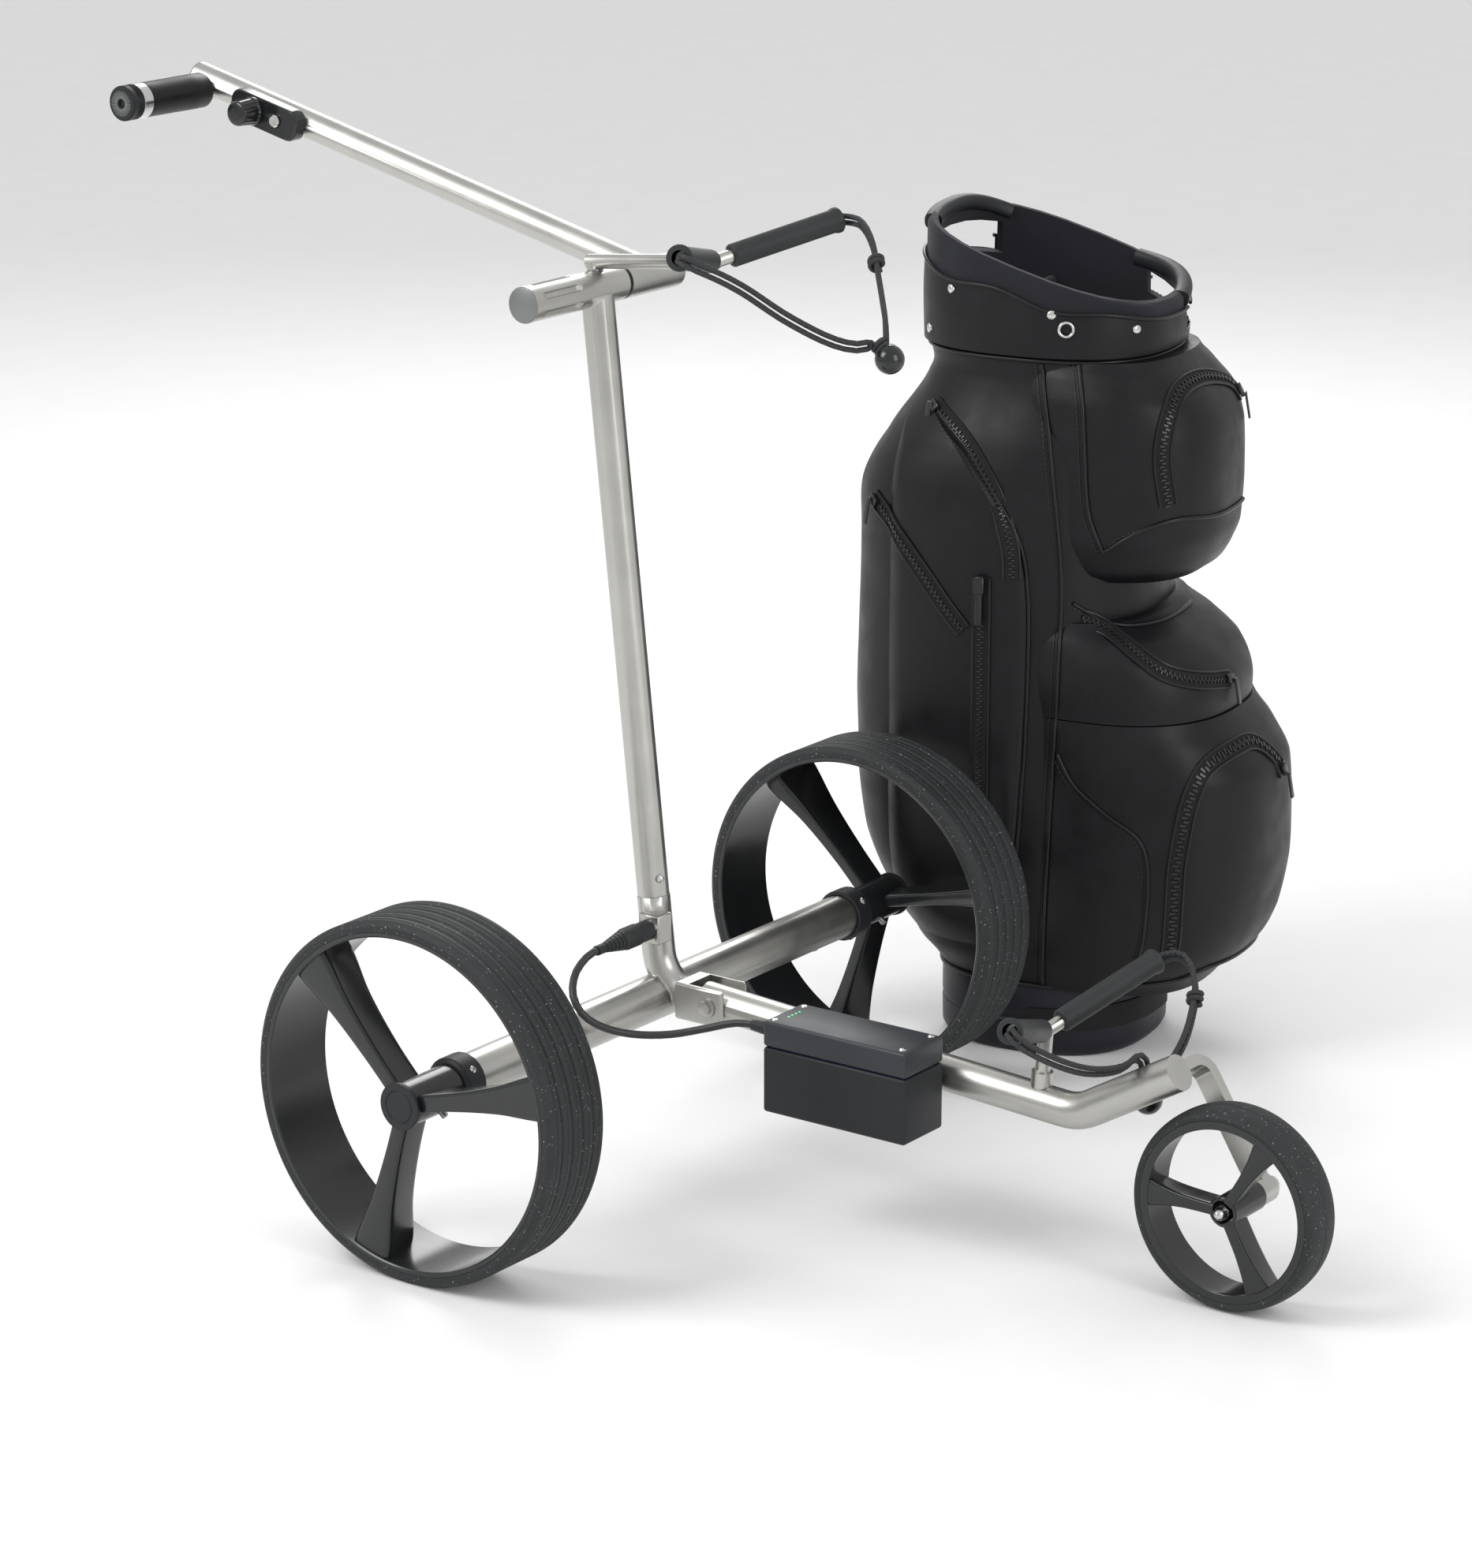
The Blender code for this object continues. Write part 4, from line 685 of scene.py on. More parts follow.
def addSpokes(bm, face, side, angles, rows):
    for angle in angles:
        out = Vector((0, math.cos(math.radians(angle)), math.sin(math.radians(angle))))
        across = xWay.cross(out)

        def spot(u, v):
            radius = rows[0][0] + (rows[-1][0] - rows[0][0]) * v
            faceHalf, backHalf, deep = blendStations(rows, radius)
            wide, outward = squared(u, 0.28)
            inward = 0.5 - 0.5 * outward  # 0 at the outer face, 1 at the back
            half = faceHalf + (backHalf - faceHalf) * inward
            return face + out * radius + across * wide * half - xWay * side * deep * inward

        joinInto(bm, wrapped(32, 20, spot))


def addRearWheel(word, side):
    size = rearWheel
    body = "wheel_" + word
    axle = Vector((middleOf("rear_tyre_" + word).x, datum.y, wheelRadius))
    half, radius = size["half"], wheelRadius
    inner = radius - size["tyreDeep"]
    section = [(-half, inner), (-half, radius - 0.0045), (-half + 0.001, radius - 0.003)]
    pitch = 2 * (half - 0.002) / size["ribs"]
    for rib in range(size["ribs"]):
        low = -half + 0.002 + pitch * rib
        section += [
            (low + pitch * 0.10, radius - 0.0004), (low + pitch * 0.16, radius),
            (low + pitch * 0.42, radius), (low + pitch * 0.46, radius - 0.0005),
            (low + pitch * 0.54, radius - 0.0005), (low + pitch * 0.58, radius),
            (low + pitch * 0.84, radius), (low + pitch * 0.90, radius - 0.0004),
        ]
        if rib < size["ribs"] - 1:
            section += [(low + pitch * share, radius - size["groove"]) for share in (0.96, 1.04)]
    section += [(half - 0.001, radius - 0.003), (half, radius - 0.0045), (half, inner), (-half, inner)]
    turnedPiece("rearTyre" + word.capitalize(), axle, xWay * side, section, tread, body,
                ["rear_tyre_" + word], 144, 30)
    outer = inner - 0.0003
    wall = size["wall"]
    bm = bmesh.new()
    drum = [
        (-half, outer - wall + 0.001), (-half + 0.001, outer - wall), (half - 0.001, outer - wall),
        (half, outer - wall + 0.001), (half, outer), (-half, outer), (-half, outer - wall + 0.001),
    ]
    lathe(bm, axle, xWay * side, drum, 144)
    reach = abs(axle.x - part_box("rear_rim_" + word)[0 if side > 0 else 1].x)  # to the hub's inner end
    hub = size["hub"]
    lathe(bm, axle, xWay * side, [
        (-reach, 0.0046), (-reach, hub - 0.001), (-reach + 0.001, hub), (half - 0.0025, hub),
        (half - 0.0015, hub - 0.001), (half - 0.0015, 0.0046),
    ], 64)
    addSpokes(bm, axle + xWay * side * (half - 0.0025), side, size["spokes"], size["spokeRows"])
    settle(bm, "rearRim" + word.capitalize(), glossBlack, body, ["rear_rim_" + word], 32)
    low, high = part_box("hub_cap_" + word)
    capRadius = (high.z - low.z) / 2
    face = high.x if side > 0 else low.x
    back = low.x if side > 0 else high.x
    thick = abs(face - back)
    turnedPiece("hubCap" + word.capitalize(), Vector((back, axle.y, axle.z)), xWay * side, [
        (0, 0), (0, capRadius - 0.0003), (thick - 0.0008, capRadius),
        (thick - 0.0002, capRadius - 0.0006), (thick, capRadius - 0.0014), (thick, capRadius * 0.70),
        (thick - 0.0005, capRadius * 0.68), (thick - 0.0005, capRadius * 0.65),
        (thick, capRadius * 0.63), (thick, 0),
    ], plastic, body, ["hub_cap_" + word], 72, 28)


def addFrontWheel():
    size = frontWheel
    low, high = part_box("front_tyre")
    radius = (high.z - low.z) / 2
    axle = middleOf("front_tyre")
    half = size["half"]
    inner = radius - size["tyreDeep"]
    section = [(-half, inner), (-half - 0.0010, inner + 0.003)]
    for step in range(-8, 9):
        turn = math.radians(9.6 * step)
        along = (half - 0.0002) * math.sin(turn) / math.sin(math.radians(76.8))
        section.append((along, radius - 0.0042 * (1 - math.cos(turn))))
        if step == 0:  # the faint line where the mould parted
            section.append((0.0006, radius - 0.0003))
    section += [(half + 0.0010, inner + 0.003), (half, inner), (-half, inner)]
    turnedPiece("frontTyre", axle, xWay, section, tread, "front_wheel", ["front_tyre"], 128, 34)
    outer = inner - 0.0003
    ring = outer - size["wall"]
    bm = bmesh.new()
    lathe(bm, axle, xWay, [
        (-half, ring + 0.003), (-half, outer), (half, outer), (half, ring + 0.0006),
        (half - 0.0006, ring), (half - 0.004, ring), (half - 0.006, ring + 0.003),
        (-half, ring + 0.003),
    ], 128)
    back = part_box("front_rim")[0].x - axle.x
    hub, near = size["hub"], half - 0.011
    lathe(bm, axle, xWay, [
        (back, 0.0044), (back, hub - 0.0008), (back + 0.001, hub), (half - 0.0025, hub),
        (half - 0.0015, hub - 0.001), (half - 0.0015, 0.0098), (near, 0.0098), (near, 0.0044),
    ], 56)
    addSpokes(bm, axle + xWay * (half - 0.0008), 1, size["spokes"], size["spokeRows"])
    settle(bm, "frontRim", glossBlack, "front_wheel", ["front_rim"], 32)


addRearWheel("left", -1)
addRearWheel("right", 1)
addFrontWheel()
print("wheels ready")


# rubber sleeves, grip, knobs and plug
sleeve = {"start": 0.016, "bore": 0.0061, "radius": 0.0095, "lip": 0.0106}
gripSize = {"bore": 0.0102, "ring": 0.0110, "ringFromEnd": 0.018, "ribs": 36}
speedKnob = {"length": 0.0220, "flutes": 18, "fluteDepth": 0.0007}
foldKnob = {
    "length": 0.0710, "slots": 6, "slotStart": 0.010, "slotEnd": 0.060,
    "slotDepth": 0.0024, "halfSlot": 0.20,
}
plugSize = {
    "barrel": 0.0086, "ribs": 5, "ribPitch": 0.0034, "boots": 6, "bootPitch": 0.0040, "length": 0.0700,
}
screwSize = {
    "large": 0.0042, "small": 0.0030, "rise": 0.0020, "lidInset": 0.0075, "collarAngles": (40, 160, 280),
}


def roundBox(node):
    # the box of a piece that is round about X: its two corners, its middle and its radius
    low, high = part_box(node)
    return low, high, (low + high) / 2, (high.z - low.z) / 2


def onBarrel(start, at, radius, u):
    c, s = math.cos(u * math.tau), math.sin(u * math.tau)
    return start + xWay * at + yWay * radius * c + zWay * radius * s


def addSleeves():
    for level, body in (("upper", "mast"), ("lower", "front_frame")):
        vertex = datum + Vector(cords[level + "Vertex"])
        for word, side in (("right", 1), ("left", -1)):
            way = armWay(side, cords[level + "Open"])
            length = cords["armReach"] - sleeve["start"]
            bore, radius, lip = sleeve["bore"], sleeve["radius"], sleeve["lip"]
            turnedPiece(f"{level}Sleeve{word.capitalize()}", vertex + way * sleeve["start"], way, [
                (0, bore), (0, radius - 0.0011), (0.0004, radius - 0.0004), (0.0012, radius),
                (length - 0.0065, radius), (length - 0.0045, lip - 0.0002), (length - 0.0035, lip),
                (length - 0.0010, lip), (length, lip - 0.0008), (length, bore),
            ], rubber, body, [f"{level}_sleeve_{word}"], 48)


def addGrip():
    low, high, middle, radius = roundBox("grip")
    length, bore, ring = high.x - low.x, gripSize["bore"], gripSize["ring"]
    rows = [(0, bore), (0, radius - 0.0016), (0.0006, radius - 0.0006), (0.0018, radius)]
    rows += [(length * share, radius - 0.0001 * (share > 0.3)) for share in (0.25, 0.5, 0.75)]
    rows += [(length - 0.0010, radius), (length, radius - 0.0008), (length, bore)]
    start = Vector((low.x, middle.y, middle.z))
    turnedPiece("grip", start, xWay, rows, hide, "handle", ["grip"], 64, 50)
    turnedPiece("gripRing", Vector((high.x - gripSize["ringFromEnd"], middle.y, middle.z)), xWay, [
        (0, radius - 0.0002), (0.0004, radius + 0.0002), (ring - 0.0004, radius + 0.0002),
        (ring, radius - 0.0002),
    ], bright, "handle", (), 64)
    bm = bmesh.new()
    face = Vector((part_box("grip_end_cap")[1].x + 0.0001, middle.y, middle.z))
    for i in range(gripSize["ribs"]):  # ribs of the end insert
        turn = Matrix.Rotation(math.tau * i / gripSize["ribs"], 4, "X")
        block(bm, face, turn @ Matrix.Translation((0, 0.0078, 0)), (0.0010, 0.0064, 0.0008))
    settle(bm, "gripInsertRibs", satin, "handle", (), 80)


def addSpeedKnob():
    high, middle, radius = roundBox("speed_knob")[1:]
    start = Vector((high.x - speedKnob["length"], middle.y, middle.z))
    bm = bmesh.new()
    rows = [
        (-0.0070, 0.0030), (0.0003, radius), (0.0030, radius), (0.0050, radius - 0.0008),
        (0.0200, radius - 0.0018), (0.0214, radius - 0.0026), (0.0220, radius - 0.0040),
    ]

    def spot(u, v):
        span = rows[-1][0] - rows[0][0]
        at = rows[0][0] + span * v
        k = max(i for i in range(len(rows) - 1) if rows[i][0] <= at + 1e-9)
        share = (at - rows[k][0]) / (rows[k + 1][0] - rows[k][0])
        r = rows[k][1] + (rows[k + 1][1] - rows[k][1]) * min(share, 1)
        if 0.004 < at < 0.0205:
            wave = math.sin(u * math.tau * speedKnob["flutes"])  # flutes for the fingers
            r -= speedKnob["fluteDepth"] * max(0.0, wave)
        return onBarrel(start, at, r, u)

    joinInto(bm, wrapped(144, 40, spot))
    lathe(bm, start, xWay, [
        (0.0212, 0), (0.0212, 0.0030), (0.0221, 0.0040), (0.0221, 0.0075), (0.0219, 0.0080),
    ], 48)
    settle(bm, "speedKnob", glossBlack, "speed_dial", ["speed_knob"], 40)


def addFoldKnob():
    low, high, middle, radius = roundBox("fold_knob")
    length, first, last = foldKnob["length"], foldKnob["slotStart"], foldKnob["slotEnd"]
    start = Vector((high.x - length, middle.y, middle.z))

    def spot(u, v):
        at = -0.0001 + (length - 0.0008) * v
        r = radius
        aside = abs((u * foldKnob["slots"]) % 1.0 - 0.5) / foldKnob["halfSlot"]
        if first < at < last and aside < 1:  # long milled slots
            fade = min(1.0, min(at - first, last - at) / 0.006)
            r -= foldKnob["slotDepth"] * fade * (1 - aside ** 6)
        return onBarrel(start, at, r, u)

    bm = wrapped(120, 56, spot)
    lathe(bm, start, xWay, [(low.x - start.x, 0), (low.x - start.x, 0.004), (0, 0.004)], 24)
    settle(bm, "foldKnob", steel, "clamp_knob", ["fold_knob"], 30)
    turnedPiece("foldKnobFace", start, xWay, [
        (length - 0.0010, 0), (length - 0.0010, radius - 0.0002), (length - 0.0004, radius - 0.0004),
        (length, radius - 0.0010), (length, 0),
    ], satin, "clamp_knob", (), 64)


def addPlug():
    high, middle = roundBox("power_socket")[1:3]
    start = Vector((high.x - 0.0010, middle.y, middle.z))
    barrel, length = plugSize["barrel"], plugSize["length"]
    rows = [(-0.0075, 0), (-0.0075, 0.0058), (0.0013, 0.0058), (0.0013, barrel), (0.0150, barrel)]
    for rib in range(plugSize["ribs"]):
        at = 0.0165 + rib * plugSize["ribPitch"]
        rows += [(at, 0.0088), (at + 0.0006, 0.0094), (at + 0.0022, 0.0094), (at + 0.0028, 0.0088)]
    rows.append((0.0345, 0.0088))
    for rib in range(plugSize["boots"]):
        at, r = 0.0360 + rib * plugSize["bootPitch"], 0.0084 - rib * 0.00072
        rows += [(at, r), (at + 0.0026, r - 0.0003), (at + 0.0030, r - 0.0013)]
    rows += [(0.0620, 0.0043), (length, 0.0042), (length, 0)]
    turnedPiece("powerPlug", start, xWay, rows, rubber, "chassis", ["power_plug"], 48, 40)


def addScrew(name, place, way, body, radius):
    rise = screwSize["rise"]
    turnedPiece(name, place, way, [
        (0, radius), (rise * 0.5, radius), (rise, radius * 0.7), (rise * 1.05, radius * 0.45),
        (rise * 0.4, radius * 0.35), (rise * 0.4, 0),
    ], bright, body, (), 32)


def addFasteners():
    large, small, inset = screwSize["large"], screwSize["small"], screwSize["lidInset"]
    for i, at in enumerate((-0.22, 0.22)):
        under = datum + Vector((at, 0, wheelRadius - 0.0190))
        addScrew(f"axleScrew{i}", under, -zWay, "chassis", large)
    for word in ("left", "right"):
        ring, middle = roundBox("axle_collar_" + word)[3], middleOf("axle_collar_" + word)
        for i, angle in enumerate(screwSize["collarAngles"]):
            out = Vector((0, math.cos(math.radians(angle)), math.sin(math.radians(angle))))
            name = f"collarScrew{word.capitalize()}{i}"
            addScrew(name, middle + out * (ring - 0.0006), out, "chassis", small)
    low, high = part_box("battery_lid")
    ends = ((low.x + inset, high.x - inset), (low.y + inset, high.y - inset))
    for i in range(4):
        place = Vector((ends[0][i % 2], ends[1][i // 2], high.z - 0.0008))
        addScrew(f"lidScrew{i}", place, zWay, "front_frame", small)
    for i in range(4):
        spot = Vector((high.x - 0.020 - i * 0.005, low.y + 0.012, high.z - 0.0003))
        turnedPiece(f"batteryLamp{i}", spot, zWay, [(0, 0.0011), (0.0005, 0.0010), (0.0007, 0)], lamp,
                    "front_frame", (), 16)


addSleeves()
addGrip()
addSpeedKnob()
addFoldKnob()
addPlug()
addFasteners()
print("small parts ready")

# bag
bag = {
    "turn": 10.0, "power": 2.5, "top": 0.637, "baseTop": 0.065,
    "body": [
        (0.065, 0.0975, 0.0975, 0.0), (0.091, 0.108, 0.108, -0.012), (0.143, 0.124, 0.122, -0.028),
        (0.185, 0.127, 0.133, -0.038), (0.240, 0.127, 0.137, -0.043), (0.460, 0.127, 0.137, -0.043),
        (0.510, 0.127, 0.136, -0.042), (0.550, 0.120, 0.126, -0.030), (0.610, 0.0985, 0.1075, -0.010),
        (0.637, 0.0985, 0.1075, -0.010),
    ],
    "base": [
        (0.0, 0.0910), (0.003, 0.0950), (0.008, 0.0975), (0.030, 0.0980), (0.032, 0.0966),
        (0.035, 0.0966), (0.037, 0.0980), (0.060, 0.0980), (0.0645, 0.0972),
    ],
    "collar": {"side": 0.1027, "front": 0.1119, "middle": -0.0105, "back": 0.746, "fore": 0.680},
}
bagFoot = middleOf("bag_base")
bagTurn = Matrix.Rotation(math.radians(bag["turn"]), 4, "Z")
bagPlace = Matrix.Translation((bagFoot.x, bagFoot.y, 0)) @ bagTurn


def ovalSpot(u, side, front, middle, height):
    across, ahead = squared(u, 2 / bag["power"])
    return Vector((side * across, middle + front * ahead, height))


def rimHeight(ahead):
    collar = bag["collar"]
    slope = (collar["back"] - collar["fore"]) / (2 * collar["front"])
    return (collar["back"] + collar["fore"]) / 2 - slope * (ahead - collar["middle"])


def soft(point, depth):
    # slow swells and faint puckers, as leatherette over foam has
    swell = noise.noise(point * 9) * depth + noise.noise(point * 24) * depth * 0.35
    return swell


def bagPiece(bm, name, look, replaced=(), angle=50, body="bag"):
    bmesh.ops.transform(bm, matrix=bagPlace, verts=bm.verts)
    return settle(bm, name, look, body, replaced, angle)


def addBagBody():
    low, high = bag["baseTop"], bag["top"]

    def spot(u, v):
        height = low + (high - low) * v
        side, front, middle = blendStations(bag["body"], height)
        flat = ovalSpot(u, side, front, middle, height)
        out = (flat - Vector((0, middle, height))).normalized()
        calm = min(1.0, (height - low) / 0.04, (high - height) / 0.04)
        return flat + out * soft(flat, 0.0016) * max(calm, 0)

    skin = wrapped(128, 120, spot, capped=False)

    def lining(u, v):
        height = low + 0.008 + (high + 0.001 - low - 0.008) * v
        side, front, middle = blendStations(bag["body"], height)
        return ovalSpot(u, side - 0.006, front - 0.006, middle, height)

    liner = wrapped(96, 60, lining, capped=False)
    bottom = [e for e in liner.edges if e.is_boundary and e.verts[0].co.z < 0.2]
    bmesh.ops.holes_fill(liner, edges=bottom, sides=0)
    for face in liner.faces:
        face.normal_flip()
    outer = bagPiece(skin, "bagBody", hide, ["bag_body"])
    bmesh.ops.transform(liner, matrix=bagPlace, verts=liner.verts)
    settle(liner, "bagLining", pile, "bag", (), 50, outward=False)
    return outer


def addBagBase():
    rows = bag["base"]

    def spot(u, v):
        k = v * (len(rows) - 1)
        i = min(int(k), len(rows) - 2)
        height = rows[i][0] + (rows[i + 1][0] - rows[i][0]) * (k - i)
        half = rows[i][1] + (rows[i + 1][1] - rows[i][1]) * (k - i)
        return ovalSpot(u, half, half, 0, height)

    bagPiece(wrapped(112, 24, spot), "bagBase", shellBlack, ["bag_base"], 35)


pockets = {
    "upper_pocket": [
        (0.440, 0.085, 0.130), (0.448, 0.095, 0.141), (0.460, 0.100, 0.148), (0.480, 0.105, 0.155),
        (0.570, 0.105, 0.155), (0.600, 0.104, 0.145), (0.622, 0.098, 0.125), (0.634, 0.092, 0.114),
    ],
    "ball_pocket": [
        (0.3220, 0.118, 0.170), (0.345, 0.118, 0.168), (0.371, 0.117, 0.155), (0.390, 0.114, 0.130),
        (0.406, 0.108, 0.104),
    ],
    "lower_pocket": [
        (0.066, 0.098, 0.150), (0.100, 0.112, 0.185), (0.130, 0.117, 0.200), (0.180, 0.118, 0.208),
        (0.270, 0.118, 0.208), (0.300, 0.118, 0.190), (0.3210, 0.118, 0.172),
    ],
}


def insideBody(point, sink):
    # true where a point in the bag's own measure lies deeper than sink under the skin
    if not bag["baseTop"] < point.z < bag["top"]:
        return False
    side, front, middle = blendStations(bag["body"], point.z)
    a, b = abs(point.x) / (side - sink), abs(point.y - middle) / (front - sink)
    return a ** bag["power"] + b ** bag["power"] < 1


def addPockets():
    made = []
    back = -0.050
    for node, rows in pockets.items():
        low, high = rows[0][0], rows[-1][0]

        def spot(u, v):
            height = low + (high - low) * v
            side, ahead = blendStations(rows, height)
            flat = ovalSpot(u, side, (ahead - back) / 2, (ahead + back) / 2, height)
            crown = 0.0022 * math.sin(math.pi * v)
            out = Vector((flat.x, flat.y - (ahead + back) / 2, 0)).normalized()
            swell = soft(flat + Vector((3, 1, 7)), 0.0018) * math.sin(math.pi * v)
            return flat + out * (swell + crown - 0.0010)

        bm = wrapped(112, 56, spot)
        deep = [f for f in bm.faces if all(insideBody(v.co, 0.0035) for v in f.verts)]
        bmesh.ops.delete(bm, geom=deep, context="FACES")
        parts = node.split("_")
        piece = bagPiece(bm, parts[0] + "Pocket", hide, [node], 55)
        made.append(piece)
    return made


sidePanel = {
    "rear": -0.118, "low": 0.100, "high": 0.590, "proud": 0.0065, "border": [
        (0.062, -0.008), (0.120, 0.003), (0.185, 0.011), (0.330, 0.018), (0.429, 0.018), (0.478, 0.010),
        (0.512, -0.010), (0.553, -0.043), (0.592, -0.092),
    ],
}


def addSidePanel():
    size = sidePanel

    def spot(u, v):
        height = size["low"] + (size["high"] - size["low"]) * v
        ahead = size["rear"] + (blendStations(size["border"], height)[0] - size["rear"]) * u
        side, front, middle = blendStations(bag["body"], height)
        share = min(0.995, abs(ahead - middle) / front)
        across = side * (1 - share ** bag["power"]) ** (1 / bag["power"])
        edge = min(1.0, u / 0.16, (1 - u) / 0.12, min(v, 1 - v) / 0.09)
        puff = size["proud"] * (1 - (1 - edge) ** 2.4)
        flat = Vector((across, ahead, height))
        return flat + Vector((puff + soft(flat, 0.0010) * edge - 0.0006, 0, 0))

    bm = wrapped(60, 110, spot, closed=False)
    piece = bagPiece(bm, "sidePocket", hide, ["side_pocket"], 60)
    return piece


skinPieces = [addBagBody()]
addBagBase()
skinPieces += addPockets()
skinPieces.append(addSidePanel())
print("bag shapes ready")


# seams on the bag's skin: routes are side, ahead and height from the bag's foot
def skinTree():
    bm = bmesh.new()
    for piece in skinPieces:
        bm.from_mesh(piece.data)
    tree = BVHTree.FromBMesh(bm)
    bm.free()
    return tree


tree = skinTree()


def onSkin(points, lift, spacing=0.004):
    rough = [bagPlace @ Vector(point) for point in points]
    count = max(8, int(routeLength(rough) / spacing))
    path, normals = [], []
    for point in smoothRoute(rough, count):
        outward = point - Vector((bagFoot.x, bagFoot.y, point.z))
        start = point + outward.normalized() * 0.05
        hit, normal, _, _ = tree.ray_cast(start, -outward.normalized(), 0.12)
        if hit is None:
            hit, normal, _, _ = tree.find_nearest(point)
        if normal.dot(outward) < 0:
            normal = -normal
        path.append(hit + normal * lift)
        normals.append(normal)
    return path, normals


def calmed(path, passes=3):
    for _ in range(passes):
        path = [path[0]] + [(a + b * 2 + c) / 4 for a, b, c in zip(path, path[1:], path[2:])] + [path[-1]]
    return path


def addPiping(name, points, radius=0.0019):
    path = onSkin(points, radius * 0.45)[0]
    bm = bar(calmed(path), radius * 2, radius * 2, 2.0, 10)
    settle(bm, name, piped, "bag")


def addStitches(name, points, lift=0.0004):
    # a row of short raised threads
    path = onSkin(points, lift, 0.0042)[0]
    bm = bmesh.new()
    for a, b in zip(path, path[1:]):
        way = b - a
        turn = xWay.rotation_difference(way.normalized()).to_matrix().to_4x4()
        block(bm, (a + b) / 2, turn, (way.length * 0.68, 0.0008, 0.0008))
    settle(bm, name, thread, "bag", (), 80)


def ribbon(path, normals, width, thick):
    spots = []
    for i, (point, normal) in enumerate(zip(path, normals)):
        way = heading(path, i)
        side = way.cross(normal).normalized()
        spots.append((point, side, side.cross(way).normalized()))

    def spot(u, v):
        point, side, up = spots[min(int(round(v * (len(spots) - 1))), len(spots) - 1)]
        across, lift = squared(u, 0.4)
        return point + side * across * width / 2 + up * lift * thick / 2

    return wrapped(16, len(path) - 1, spot)


zipSize = {"tape": 0.0135, "thick": 0.0012, "pitch": 0.0024, "tooth": 0.0034, "lip": 0.0074}


def axesOf(way, normal):
    # a frame that runs along the way, with its third axis off the skin
    side = way.cross(normal).normalized()
    up = side.cross(way)
    return side, up, Matrix((way, side, up)).transposed().to_4x4()


def addZip(name, points, coarse=1.0, reverse=False, pull=True):
    path, normals = onSkin(points, 0.0006)
    path = calmed(path)
    tape = ribbon(path, normals, zipSize["tape"], zipSize["thick"])
    settle(tape, name + "Tape", webbing, "bag")
    step = zipSize["pitch"] * coarse
    dense = smoothRoute(path, max(4, int(routeLength(path) / step)))
    bm = bmesh.new()
    for i, point in enumerate(dense[:-1]):
        way = (dense[i + 1] - point).normalized()
        normal = normals[min(int(i * len(normals) / len(dense)), len(normals) - 1)]
        side, up, axes = axesOf(way, normal)
        shift = side * 0.0011 * (1 if i % 2 else -1)
        size = (step * 0.58, zipSize["tooth"] * coarse, 0.0016)
        block(bm, point + shift + up * 0.0010, axes, size)
    settle(bm, name + "Teeth", toothBlack, "bag", (), 80)
    for side in (-1, 1):
        edge = []
        for i, (point, normal) in enumerate(zip(path, normals)):
            across = heading(path, i).cross(normal).normalized()
            edge.append(point + across * side * zipSize["lip"] + normal * 0.0004)
        label = name + ("LipA" if side > 0 else "LipB")
        settle(bar(calmed(edge), 0.0026, 0.0026, 2.0, 8), label, piped, "bag")
    if pull:
        end, beside = (-1, -2) if reverse else (0, 1)
        addPull(name + "Pull", path[end], path[beside] - path[end], normals[end])


def addPull(name, place, way, normal):
    way = way.normalized()
    hang = (-zWay + normal * 0.18).normalized()
    up = axesOf(way, normal)[1]
    bm = bmesh.new()
    for along, size, reach, rise in (
        (way, (0.011, 0.0082, 0.0034), 0.004, 0.0028), (hang, (0.024, 0.0062, 0.0018), 0.012, 0.0060),
    ):
        block(bm, place + along * reach + up * rise, axesOf(along, normal)[2], size)
    bmesh.ops.bevel(
        bm, geom=list(bm.edges), offset=0.0006, offset_type="OFFSET", affect="EDGES", segments=2,
        profile=0.5, material=-1,
    )
    settle(bm, name, toothBlack, "bag", (), 40)


seams = {
    "mainPiping": [
        (0.097, 0.016, 0.632), (0.111, 0.034, 0.540), (0.109, 0.043, 0.449), (0.116, 0.045, 0.366),
        (0.116, 0.042, 0.287), (0.115, 0.037, 0.170), (0.096, 0.028, 0.070),
    ],
    "panelBorder": [
        (0.097, -0.008, 0.070), (0.130, 0.011, 0.185), (0.128, 0.018, 0.330), (0.128, 0.018, 0.429),
        (0.130, 0.010, 0.478), (0.133, -0.010, 0.512), (0.126, -0.043, 0.553), (0.094, -0.085, 0.586),
    ],
    "slantPiping": [
        (0.116, 0.046, 0.290), (0.117, 0.061, 0.265), (0.117, 0.091, 0.242), (0.112, 0.125, 0.214),
        (0.111, 0.128, 0.145), (0.100, 0.110, 0.080),
    ],
    "ballPiping": [
        (0.103, 0.052, 0.424), (0.085, 0.080, 0.405), (0.047, 0.110, 0.400), (-0.034, 0.110, 0.400),
    ],
    "upperPiping": [
        (0.092, 0.049, 0.632), (0.104, 0.060, 0.569), (0.104, 0.065, 0.507), (0.101, 0.078, 0.472),
    ],
    "wedgePiping": [
        (0.101, 0.078, 0.472), (0.096, 0.106, 0.491), (0.074, 0.134, 0.502), (0.029, 0.153, 0.498),
        (-0.040, 0.150, 0.498),
    ],
    "ovalFoot": [
        (0.092, 0.120, 0.080), (0.074, 0.150, 0.084), (0.059, 0.169, 0.095), (0.010, 0.181, 0.096),
        (-0.050, 0.170, 0.096),
    ],
}
